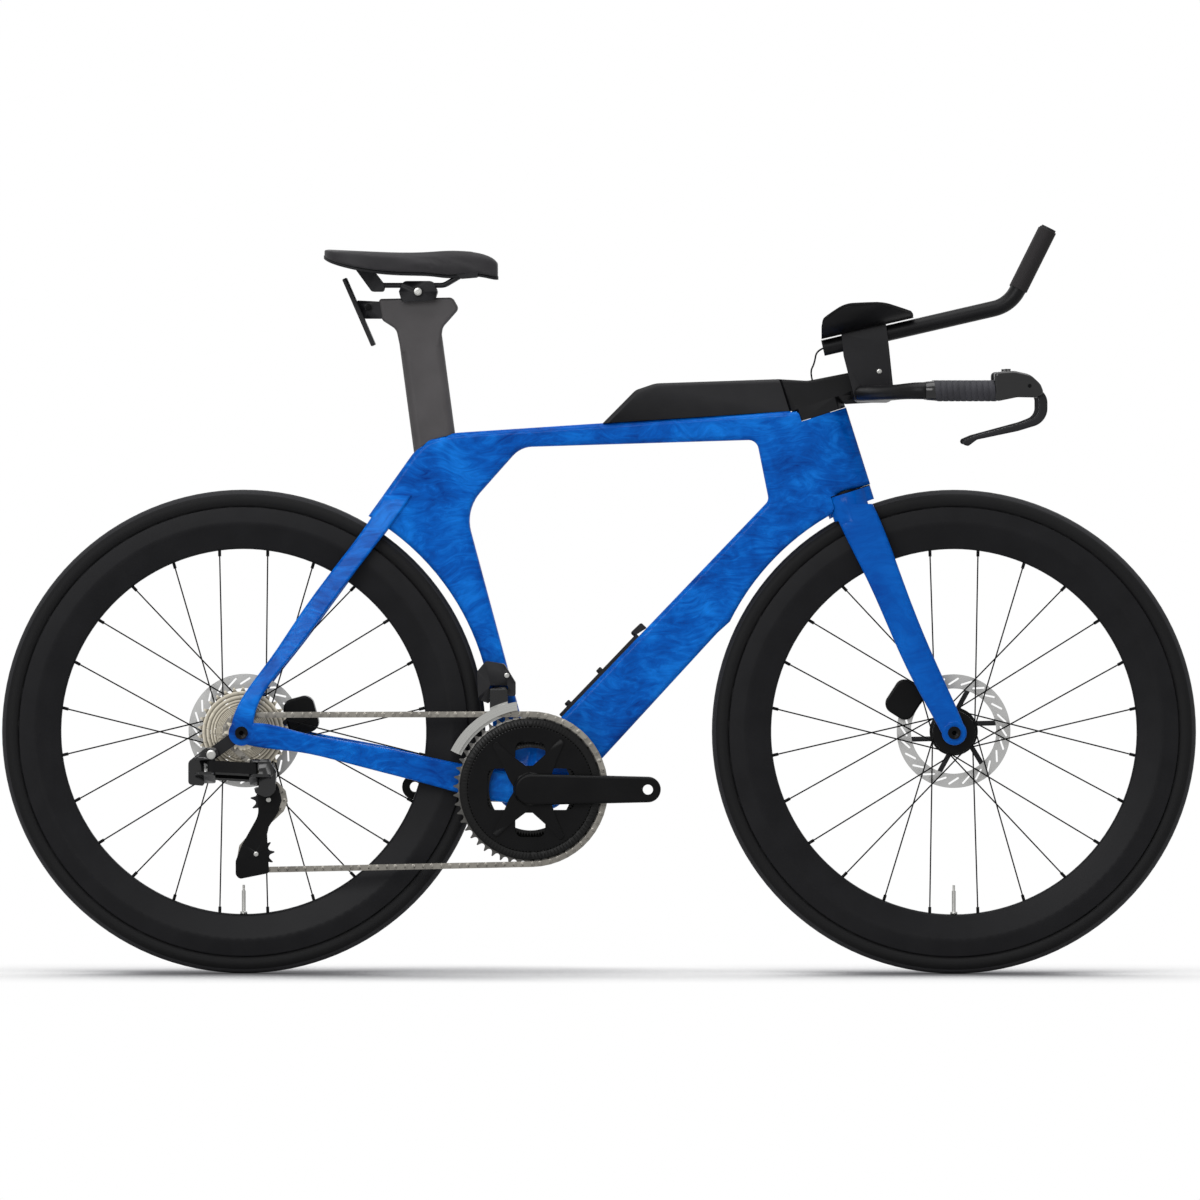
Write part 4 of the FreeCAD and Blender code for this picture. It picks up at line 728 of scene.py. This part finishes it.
def skin(finish: Finish, *nodes: str, angle_deg: float = 32.0) -> None:
    """Stands a smooth-shaded copy for each CAD node, with its finish.

    Args:
        finish: The finish.
        nodes: Names of the nodes.
        angle_deg: Edges sharper than this stay crisp.
    """
    for node in nodes:
        piece = copy_of_node(node)
        bpy.ops.object.shade_smooth_by_angle(angle=math.radians(angle_deg))
        apply_modifier(piece, "WEIGHTED_NORMAL", keep_sharp=True)
        settle(piece, node + "_skin", frame["nodes"][node]["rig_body"], finish)
        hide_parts(node)


@dataclass
class FrameSet:
    """Frame, fork and what is fixed to the frame.

    Attributes:
        rail_foot_mm: Lower end of the bottle mount rail.
        rail_way: Direction of the rail.
        rail_rise: Direction that the rail faces.
        rail_bolts_mm: Places of its bolts along it.
        rail_head_mm: Height of the faces that the bolts show.
        steer_up: Direction of the steering axis.
        crown_mm: Height of the crown's upper face along that direction.
        seal_mm: Thickness of the seal between the fork's crown and the frame.
    """

    rail_foot_mm: Vector = field(default_factory=lambda: Vector((-52.0, 0.0, 360.74)))
    rail_way: Vector = field(default_factory=lambda: Vector((0.6912, 0.0, 0.7227)))
    rail_rise: Vector = field(default_factory=lambda: Vector((-0.7227, 0.0, 0.6912)))
    rail_bolts_mm: tuple[float, float] = (20.0, 84.0)
    rail_head_mm: float = 9.0
    steer_up: Vector = field(default_factory=lambda: Vector((-0.3007, 0.0, 0.9537)))
    crown_mm: float = 539.7
    seal_mm: float = 1.2

    def build(self) -> None:
        """Dresses the frame and the pieces fixed to it."""
        skin(FRAME_PAINT, "frame")
        skin(FORK_PAINT, "fork")
        skin(BLACK_PLASTIC, "storage_box")
        skin(DARK_ALLOY, "bottle_mount_rail", "derailleur_hanger")
        dress(DARK_ALLOY, "frame_bearings")
        skin(BLACK_ALLOY, "front_axle", "rear_axle")
        for index, along in enumerate(self.rail_bolts_mm):
            spot = self.rail_foot_mm + self.rail_way * along + self.rail_rise * self.rail_head_mm
            place = BoltPlace(
                f"rail_bolt_{index}", "bottle_mount_rail", tuple(spot), 4.0, 0.9, tuple(self.rail_rise)
            )
            place.fit(BLACK_STEEL, "black_alloy")
        self.crown_seal()

    def crown_seal(self) -> None:
        """Makes the thin seal that closes the steering gap, from the crown's upper face."""
        piece = copy_of_node("fork")
        select_faces(
            piece,
            lambda face: face.normal.dot(self.steer_up) < 0.99
            or abs(face.center.dot(self.steer_up) - self.crown_mm * MM) > MM,
        )
        bpy.ops.mesh.delete(type="FACE")
        bpy.ops.mesh.select_all(action="SELECT")
        bpy.ops.mesh.dissolve_limited(angle_limit=math.radians(1))
        bpy.ops.mesh.select_all(action="SELECT")
        bpy.ops.mesh.extrude_region_move(
            TRANSFORM_OT_translate={"value": tuple(self.steer_up * self.seal_mm * MM)}
        )
        bpy.ops.mesh.select_all(action="SELECT")
        bpy.ops.mesh.normals_make_consistent(inside=False)
        bpy.ops.object.mode_set(mode="OBJECT")
        apply_modifier(piece, "BEVEL", width=0.4 * MM, segments=2, limit_method="ANGLE")
        settle(piece, "crown_seal", "steering", BLACK_STEEL)


@dataclass
class SeatUnit:
    """Seatpost, clamp and saddle.

    Attributes:
        voxel_mm: Mesh size of the cushion.
        swell_mm: How far the cushion swells at most.
        sink_mm: How far the cushion is drawn down onto the shell.
    """

    voxel_mm: float = 2.4
    swell_mm: float = 1.6
    sink_mm: float = 1.1

    def build(self) -> None:
        """Dresses the post and makes the cushion."""
        skin(POST_LAMINATE, "seatpost")
        skin(DARK_ALLOY, "rear_bracket", "saddle_clamp", "saddle_rails")
        skin(BLACK_PLASTIC, "saddle_shell")
        BoltPlace("clamp_bolt", "saddle_clamp", (-253.0, -35.0, 958.0), 5.6).fit(BRIGHT_STEEL, "steel")
        BoltPlace("bracket_bolt", "rear_bracket", (-323.0, -15.0, 936.0), 4.4).fit(BLACK_STEEL, "black_alloy")
        self.cushion()

    def cushion(self) -> None:
        """Makes the padded top of the saddle."""
        piece = copy_of_node("saddle_cover")
        swell(piece, self.voxel_mm, self.swell_mm, lambda vertex: vertex.normal.z < -0.6)
        piece.location.z = -self.sink_mm * MM
        settle(piece, "saddle_cushion", "saddle", SADDLE_COVER)
        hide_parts("saddle_cover")


@dataclass
class Cockpit:
    """Stem, bars, armrests, levers and shift buttons.

    Attributes:
        grip_side_mm: Distance of a bar grip from the middle.
        grip_height_mm: Height of the bar grips.
        band_start_mm: Where the finishing band starts.
        tape_start_mm: Where the wound tape starts.
        tape_pitch_mm: Width of tape that shows in each turn.
        tape_turns: Number of turns.
        tape_radius_mm: Radius of the tape at the foot of each lap.
        tape_wall_mm: Thickness of the tape.
        lap_mm: Height of a lap's edge.
        band_mm: Length of the finishing band.
        band_radius_mm: Radius of the band's narrow end.
        band_flare: How much wider its other end is.
        pad_voxel_mm: Mesh size of an arm pad.
        pad_swell_mm: How far an arm pad swells at most.
    """

    grip_side_mm: float = 196.0
    grip_height_mm: float = 819.0
    band_start_mm: float = 458.0
    tape_start_mm: float = 469.0
    tape_pitch_mm: float = 8.35
    tape_turns: int = 10
    tape_radius_mm: float = 13.9
    tape_wall_mm: float = 2.2
    lap_mm: float = 0.7
    band_mm: float = 18.0
    band_radius_mm: float = 13.0
    band_flare: float = 1.1
    pad_voxel_mm: float = 2.6
    pad_swell_mm: float = 1.6

    def build(self) -> None:
        """Dresses the cockpit and makes its tape and pads."""
        skin(BAR_LAMINATE, "stem", "base_bar", "extensions", "armrest_cups")
        skin(DARK_ALLOY, "aerobar_risers")
        skin(GLOSS_PLASTIC, "brake_hoods")
        skin(DARK_ALLOY, "brake_lever_left", "brake_lever_right")
        skin(GRIP_RUBBER, "extension_grips")
        skin(BLACK_PLASTIC, "shift_button_left", "shift_button_right")
        tapes = [self.tape(side) for side in Side]
        bands = [self.band(side) for side in Side]
        for piece in tapes + bands:
            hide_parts("base_bar_grips")
        for side in Side:
            out = float(side.value)
            BoltPlace(
                f"lever_pivot_bolt_{side.name.lower()}", "brake_hoods", (602.0, out * 209.4, 826.0), 2.8, 0.8,
                (0.0, out, 0.0),
            ).fit(BLACK_STEEL, "black_alloy")
            BoltPlace(
                f"riser_bolt_{side.name.lower()}", "aerobar_risers", (394.0, out * 74.0, 846.0), 3.6, 1.2,
                (0.0, out, 0.0),
            ).fit(BRIGHT_STEEL, "steel")
        for side in Side:
            self.pad(side)

    def tape(self, side: Side) -> Object:
        """Winds tape round a bar grip.

        Args:
            side: Which grip.

        Returns:
            The wound tape.
        """
        deselect_all()
        bpy.ops.mesh.primitive_plane_add(size=MM)
        piece = bpy.context.object
        bpy.ops.object.mode_set(mode="EDIT")
        bpy.ops.mesh.select_mode(type="VERT")
        bpy.ops.mesh.select_all(action="SELECT")
        bpy.ops.mesh.merge(type="CENTER")
        bpy.ops.transform.translate(value=(self.tape_start_mm * MM, 0, self.tape_radius_mm * MM))
        edge = 0.12 * self.tape_pitch_mm
        rest = self.tape_pitch_mm - 2 * edge
        steps = ((edge, self.lap_mm), (rest / 2, 0.15), (rest / 2, -0.1), (edge, -self.lap_mm - 0.05))
        for along, out in steps:
            bpy.ops.mesh.extrude_region_move(TRANSFORM_OT_translate={"value": (along * MM, 0, out * MM)})
        bpy.ops.object.mode_set(mode="OBJECT")
        apply_modifier(
            piece, "SCREW", axis="X", angle=2 * math.pi, screw_offset=self.tape_pitch_mm * MM,
            iterations=self.tape_turns, steps=40, render_steps=40, use_merge_vertices=True,
            merge_threshold=1e-5,
        )
        bpy.ops.object.mode_set(mode="EDIT")
        bpy.ops.mesh.select_all(action="SELECT")
        bpy.ops.mesh.remove_doubles(threshold=1e-6)
        bpy.ops.mesh.normals_make_consistent(inside=False)
        bpy.ops.object.mode_set(mode="OBJECT")
        apply_modifier(piece, "SOLIDIFY", thickness=self.tape_wall_mm * MM, offset=-1.0)
        piece.location = (0, side.value * self.grip_side_mm * MM, self.grip_height_mm * MM)
        settle(piece, f"bar_tape_{side.name.lower()}", "steering", BAR_TAPE)
        bpy.ops.object.shade_smooth_by_angle(angle=math.radians(40))
        return piece

    def band(self, side: Side) -> Object:
        """Makes the smooth finishing band at the inner end of a grip.

        Args:
            side: Which grip.

        Returns:
            The band.
        """
        deselect_all()
        length = self.band_mm * MM
        wide_end = self.band_start_mm * MM + length
        centre = (wide_end, side.value * self.grip_side_mm * MM, self.grip_height_mm * MM)
        bpy.ops.mesh.primitive_cylinder_add(
            vertices=48, radius=self.band_radius_mm * MM, depth=length, rotation=(0, math.pi / 2, 0),
            location=(self.band_start_mm * MM + length / 2, *centre[1:]),
        )
        piece = bpy.context.object
        bpy.ops.object.transform_apply(location=True, rotation=True)
        select_faces(piece, lambda face: face.normal.x > 0.9)
        bpy.ops.transform.resize(value=(1, self.band_flare, self.band_flare), center_override=centre)
        select_faces(piece, lambda face: abs(face.normal.x) > 0.9)
        bpy.ops.mesh.inset(thickness=2.0 * MM)
        bpy.ops.mesh.delete(type="FACE")
        bpy.ops.mesh.select_mode(type="EDGE")
        bpy.ops.mesh.select_all(action="DESELECT")
        bpy.ops.mesh.select_non_manifold()
        bpy.ops.mesh.bridge_edge_loops()
        bpy.ops.mesh.select_all(action="SELECT")
        bpy.ops.mesh.normals_make_consistent(inside=False)
        bpy.ops.object.mode_set(mode="OBJECT")
        apply_modifier(
            piece, "BEVEL", width=0.8 * MM, segments=2, limit_method="ANGLE", angle_limit=math.radians(40)
        )
        settle(piece, f"tape_band_{side.name.lower()}", "steering", GLOSS_PLASTIC)
        bpy.ops.object.shade_smooth_by_angle(angle=math.radians(40))
        return piece

    def pad(self, side: Side) -> None:
        """Makes one arm pad.

        Args:
            side: Which pad.
        """
        piece = copy_of_node("armrest_pads")
        select_faces(piece, lambda face: face.center.y * side.value < 0)
        bpy.ops.mesh.delete(type="FACE")
        bpy.ops.object.mode_set(mode="OBJECT")
        swell(piece, self.pad_voxel_mm, self.pad_swell_mm, lambda vertex: vertex.normal.z < -0.3)
        settle(piece, f"arm_pad_{side.name.lower()}", "steering", PAD_FOAM)
        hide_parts("armrest_pads")


@dataclass
class ExtensionWires:
    """Thin wires that leave the stem and go into the rear ends of the extensions.

    Attributes:
        route_mm: Points that the left wire's line is drawn by.
        length_mm: Length of a wire; not used.
        diameter_mm: Diameter of its sleeve.
    """

    route_mm: tuple[tuple[float, float, float], ...] = (
        (300.0, 12.0, 834.0),
        (297.0, 14.0, 846.0),
        (303.0, 48.0, 857.0),
        (306.2, 60.0, 876.8),
        (320.9, 60.0, 880.2),
    )
    length_mm: float = 84.9
    diameter_mm: float = 2.4

    def build(self) -> None:
        """Makes both wires."""
        for side in Side:
            self.wire(side)

    def wire(self, side: Side) -> None:
        """Makes one wire on a smooth line.

        Args:
            side: Which wire.
        """
        data = bpy.data.curves.new(f"extension_wire_{side.name.lower()}", "CURVE")
        data.dimensions = "3D"
        data.bevel_depth = self.diameter_mm / 2 * MM
        data.bevel_resolution = 3
        data.use_fill_caps = True
        line = data.splines.new("NURBS")
        line.points.add(len(self.route_mm) - 1)
        for point, (along, out, up) in zip(line.points, self.route_mm):
            point.co = (along * MM, side.value * out * MM, up * MM, 1.0)
        line.order_u = 3
        line.use_endpoint_u = True
        line.resolution_u = 16
        piece = bpy.data.objects.new(data.name, data)
        bpy.context.scene.collection.objects.link(piece)
        data.materials.append(WIRE_SLEEVE.material())
        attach(piece, "steering")
        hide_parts("extension_wire")
        LOG.info("made %s", piece.name)


@dataclass
class Wheel:
    """One wheel with its rotor and caliper.

    Attributes:
        end: Front or rear.
        track_mm: Inner radius of the bright brake track.
        tread_mm: Radius where the tread meets the side wall.
    """

    end: WheelEnd
    track_mm: float = 60.0
    tread_mm: float = 334.0

    def build(self) -> None:
        """Dresses the wheel."""
        name = self.end.name.lower()
        axle = (self.end.value, 0.0, AXLE_HEIGHT)
        # Natural rubber compound: dull, with fine moulded ribs on the side wall
        tyre = TurnedSurface(
            f"{name}_tyre_rubber", "#29292b", 0.62, mirror=0.12, axle=axle, mark_mm=1.6, depth_mm=0.08,
            inner_colour="#131314", limit_mm=self.tread_mm,
        )
        # Stainless track, brushed round by the pads, on a black spider
        rotor = TurnedSurface(
            f"{name}_brushed_stainless_track", "#a9a9a8", 0.32, metallic=1.0, axle=axle, mark_mm=0.9,
            depth_mm=0.01, inner_colour="#17171a", limit_mm=self.track_mm,
        )
        skin(tyre, f"{name}_tyre")
        skin(RIM_LAMINATE, f"{name}_rim")
        skin(BLACK_STEEL, f"{name}_spokes")
        skin(BLACK_ALLOY, f"{name}_hub", f"{name}_caliper")
        skin(BRIGHT_STEEL, f"{name}_valve")
        skin(rotor, f"{name}_rotor")
        dress(BRAKE_LINING, f"{name}_pad_inner", f"{name}_pad_outer")


@dataclass
class DriveTrain:
    """Cranks, rings, chain, cassette and derailleurs.

    Attributes:
        bracket: Middle of the crank spindle.
        ring_tooth_mm: Radius where the ring's bright teeth start.
        plate_mm: Distance from the spindle where the chromed guide plate ends.
        dish_mm: Radius of the dished cover between the crank's arms.
        dish_side_mm: Distance of the cover's middle from the bike's middle.
        dish_wall_mm: Thickness of the cover.
        dish_steps_mm: How far in each ring of its face lies, and how deep.
        dish_windows: Angle and distance of each window in it, then half its width and height.
        window_round_mm: Rounding of the windows.
        chain_pitch_mm: Distance between the chain's pins.
        sprocket_teeth: Teeth of each sprocket, smallest first.
    """

    bracket: tuple[float, float, float] = (-0.095, 0.0, 0.2605)
    ring_tooth_mm: float = 99.5
    plate_mm: float = 127.0
    dish_mm: float = 87.0
    dish_side_mm: float = 53.6
    dish_wall_mm: float = 1.4
    dish_steps_mm: tuple[tuple[float, float], ...] = ((3.0, 0.0), (9.0, 0.7), (12.0, 0.0))
    dish_windows: tuple[tuple[float, float, float, float], ...] = (
        (90.0, 50.0, 21.0, 17.0),
        (180.0, 40.0, 29.0, 20.0),
        (270.0, 50.0, 21.0, 17.0),
        (0.0, 42.0, 29.0, 20.0),
    )
    window_round_mm: float = 11.0
    chain_pitch_mm: float = 12.7
    sprocket_teeth: tuple[int, ...] = (11, 12, 13, 14, 15, 16, 17, 19, 21, 24, 27, 30)

    def build(self) -> None:
        """Dresses the drive train."""
        # Hard anodised ring: black plate, with teeth that the chain has worn bright
        ring = TurnedSurface(
            "black_hard_anodised_ring", "#4c4b49", 0.34, metallic=1.0, mirror=0.15, axle=self.bracket,
            mark_mm=1.0, inner_colour="#090909", limit_mm=self.ring_tooth_mm,
        )
        rear_axle = (WheelEnd.REAR.value, 0.0, AXLE_HEIGHT)
        # Painted highlight on each sprocket's rim, and painted shade on the next larger sprocket just outside
        # it, where the smaller one would shade it
        sprocket = TurnedSurface(
            "nickel_plated_sprocket_steel", "#a39b8c", 0.34, metallic=1.0, axle=rear_axle, mark_mm=1.1,
            bands=self.sprocket_painted_light_bands(),
        )
        skin(ring, "chainrings")
        skin(sprocket, "cassette")
        skin(BLACK_ALLOY, "crank_arm_right", "crank_arm_left")
        skin(CHAIN_STEEL, "chain")
        # Chromed plate near the ring, black link above it
        plate = TurnedSurface(
            "chromed_guide_plate", "#0c0c0d", 0.3, mirror=0.3, axle=self.bracket, depth_mm=0.004,
            inner_colour="#9a9a97", limit_mm=self.plate_mm, inner_metallic=1.0,
        )
        skin(plate, "front_derailleur_cage")
        skin(BLACK_PLASTIC, "front_derailleur_body", "guide_pulley", "tension_pulley")
        skin(GLOSS_PLASTIC, "derailleur_b_knuckle", "derailleur_p_knuckle")
        skin(BLACK_ALLOY, "derailleur_outer_link", "derailleur_inner_link", "derailleur_cage")
        places = (
            BoltPlace("hanger_bolt", "derailleur_b_knuckle", (-541.0, -95.0, 310.0), 6.6),
            BoltPlace("guide_pulley_bolt", "derailleur_cage", (-461.7, -63.5, 245.9), 3.4, 0.4),
            BoltPlace("tension_pulley_bolt", "derailleur_cage", (-479.2, -63.5, 169.8), 3.4, 1.0),
            BoltPlace("front_derailleur_bolt", "front_derailleur_body", (-128.0, -49.0, 420.0), 3.6),
        )
        for place in places:
            place.fit(BRIGHT_STEEL, "steel")
        self.dish()

    def dish(self) -> None:
        """Models the dished cover between the crank's arms, with a window between each two."""
        deselect_all()
        middle = Vector(self.bracket) - Vector((0.0, self.dish_side_mm * MM, 0.0))
        bpy.ops.mesh.primitive_cylinder_add(
            vertices=96, radius=self.dish_mm * MM, depth=self.dish_wall_mm * MM, location=middle,
            rotation=(math.pi / 2, 0, 0),
        )
        piece = bpy.context.object
        bpy.ops.object.transform_apply(location=True, rotation=True)
        select_faces(piece, lambda face: face.normal.y < -0.9)
        for inward, down in self.dish_steps_mm:
            bpy.ops.mesh.inset(thickness=inward * MM)
            bpy.ops.transform.translate(value=(0, down * MM, 0))
        bpy.ops.object.mode_set(mode="OBJECT")
        for angle, distance, half_wide, half_high in self.dish_windows:
            turn = math.radians(angle)
            out = Vector((math.cos(turn), 0.0, math.sin(turn)))
            deselect_all()
            bpy.ops.mesh.primitive_cube_add(size=2.0, location=middle + out * distance * MM)
            window = bpy.context.object
            window.scale = (half_high * MM, 10.0 * MM, half_wide * MM)
            window.rotation_euler = (0.0, -turn, 0.0)
            bpy.ops.object.transform_apply(location=True, rotation=True, scale=True)
            apply_modifier(
                window, "BEVEL", width=self.window_round_mm * MM, segments=6, limit_method="NONE",
                affect="EDGES",
            )
            apply_modifier(piece, "BOOLEAN", object=window, operation="DIFFERENCE", solver="EXACT")
            bpy.data.objects.remove(window)
        apply_modifier(
            piece, "BEVEL", width=0.4 * MM, segments=2, limit_method="ANGLE", angle_limit=math.radians(50)
        )
        settle(piece, "crank_dish", "crank", BLACK_ALLOY)
        bpy.ops.object.shade_smooth_by_angle(angle=math.radians(30))

    def sprocket_painted_light_bands(self) -> tuple[tuple[float, str], ...]:
        """Works out where each sprocket shows beyond the one before it, with a painted highlight on its rim
        and painted shade just outside it.

        Returns:
            Distance in mm and colour, from the lockring outward.
        """
        bands = [(12.0, "#77736a")]
        for teeth in self.sprocket_teeth:
            tip = self.chain_pitch_mm / (2 * math.sin(math.pi / teeth)) + 3.0
            # Painted highlight just inside each tip, painted shade just beyond it on the next larger sprocket
            bands.append((tip - 0.8, "#c9c2b2"))
            bands.append((tip + 0.1, "#4f4a40"))
        return tuple(bands)


@dataclass
class Studio:
    """Floor, light and camera.

    Attributes:
        camera_at: Place of the camera.
        aim: Point in the middle of the picture.
        picture_width: Width that the picture spans at the bike, in metres.
        floor_size: Side of the floor.
        shadow_tones: Share of open sky over a spot of the floor, and its tone there.
    """

    camera_at: tuple[float, float, float] = (0.3, -20.0, 0.83)
    aim: tuple[float, float, float] = (0.0019, 0.0, 0.525)
    picture_width: float = 1.686
    floor_size: float = 40.0
    shadow_tones: tuple[tuple[float, str], ...] = (
        (0.12, "#202020"),
        (0.7, "#747476"),
        (0.83, "#b8b8ba"),
        (0.89, "#dededf"),
        (0.97, "#ffffff"),
    )

    def build(self) -> None:
        """Sets up everything round the bike."""
        self.camera()
        self.floor()
        self.world()
        self.lamp("overhead_softbox", (0.2, -0.6, 3.6), (0.0, 0.0, 0.4), 3.6, 2.4, 95.0)
        self.lamp("front_softbox", (-1.6, -4.6, 2.4), (0.0, 0.0, 0.5), 3.0, 2.0, 110.0)
        self.lamp("back_softbox", (1.2, 4.2, 2.6), (0.0, 0.0, 0.5), 3.0, 2.0, 40.0)
        bpy.context.scene.view_settings.view_transform = "Standard"

    def camera(self) -> None:
        """Places the camera at the photograph's viewing angle."""
        at = Vector(self.camera_at)
        way = Vector(self.aim) - at
        data = bpy.data.cameras.new("camera")
        data.sensor_width = 36.0
        data.lens = 36.0 * way.length / self.picture_width
        data.clip_end = 100.0
        camera = bpy.data.objects.new("camera", data)
        camera.location = at
        camera.rotation_mode = "QUATERNION"
        camera.rotation_quaternion = way.to_track_quat("-Z", "Y")
        bpy.context.scene.collection.objects.link(camera)
        bpy.context.scene.camera = camera

    def floor(self) -> None:
        """Makes a white floor that keeps the soft shadow under the wheels."""
        deselect_all()
        bpy.ops.mesh.primitive_plane_add(size=self.floor_size)
        floor = bpy.context.object
        floor.name = "floor"
        made = bpy.data.materials.new("white_studio_floor")
        made.use_nodes = True
        tree = made.node_tree
        tree.nodes.clear()
        light_path = add_node(tree, "LightPath")
        shade = add_node(tree, "AmbientOcclusion", {"samples": 24}, {"Distance": 0.36})
        soft = add_node(
            tree, "ValToRGB", {"ramp": self.shadow_tones}, {"Fac": shade.outputs["AO"]}
        )
        seen = add_node(tree, "Emission", None, {"Color": soft.outputs["Color"]})
        plain = add_node(tree, "BsdfDiffuse", None, {"Color": linear("#dcdcdc")})
        looked_at = add_node(
            tree, "Math", {"operation": "MAXIMUM"},
            {0: light_path.outputs["Is Camera Ray"], 1: light_path.outputs["Is Glossy Ray"]},
        )
        mixed = add_node(
            tree, "MixShader", None,
            {0: looked_at.outputs["Value"], 1: plain.outputs["BSDF"], 2: seen.outputs["Emission"]},
        )
        add_node(tree, "OutputMaterial", None, {"Surface": mixed.outputs["Shader"]})
        floor.data.materials.append(made)

    def world(self) -> None:
        """Shows white behind the bike and lights it with a softer grey."""
        world = bpy.data.worlds.new("studio")
        world.use_nodes = True
        tree = world.node_tree
        tree.nodes.clear()
        light_path = add_node(tree, "LightPath")
        bent = add_node(
            tree, "Math", {"operation": "MAXIMUM"},
            {0: light_path.outputs["Is Glossy Ray"], 1: light_path.outputs["Is Transmission Ray"]},
        )
        seen = add_node(
            tree, "Math", {"operation": "MAXIMUM"},
            {0: light_path.outputs["Is Camera Ray"], 1: bent.outputs["Value"]},
        )
        strength = add_node(
            tree, "MapRange", None, {"Value": seen.outputs["Value"], "To Min": 0.3, "To Max": 1.0}
        )
        background = add_node(
            tree, "Background", None,
            {"Color": (1.0, 1.0, 1.0, 1.0), "Strength": strength.outputs["Result"]},
        )
        add_node(tree, "OutputWorld", None, {"Surface": background.outputs["Background"]})
        bpy.context.scene.world = world

    def lamp(
        self,
        name: str,
        at: Sequence[float],
        aim: Sequence[float],
        width: float,
        depth: float,
        power: float,
    ) -> None:
        """Adds one softbox.

        Args:
            name: Name of the lamp.
            at: Its place.
            aim: Point that it faces.
            width: Its width in metres.
            depth: Its depth in metres.
            power: Its power in watts.
        """
        data = bpy.data.lights.new(name, "AREA")
        data.shape = "RECTANGLE"
        data.size = width
        data.size_y = depth
        data.energy = power
        lamp = bpy.data.objects.new(name, data)
        lamp.location = at
        lamp.rotation_mode = "QUATERNION"
        lamp.rotation_quaternion = (Vector(aim) - Vector(at)).to_track_quat("-Z", "Y")
        bpy.context.scene.collection.objects.link(lamp)


def main() -> None:
    """Builds the sub-assemblies in order."""
    logging.basicConfig(level=logging.INFO, format="%(message)s")
    Studio().build()
    ExtensionWires().build()
    FrameSet().build()
    SeatUnit().build()
    Cockpit().build()
    for end in WheelEnd:
        Wheel(end).build()
    DriveTrain().build()


if __name__ == "__main__":
    main()
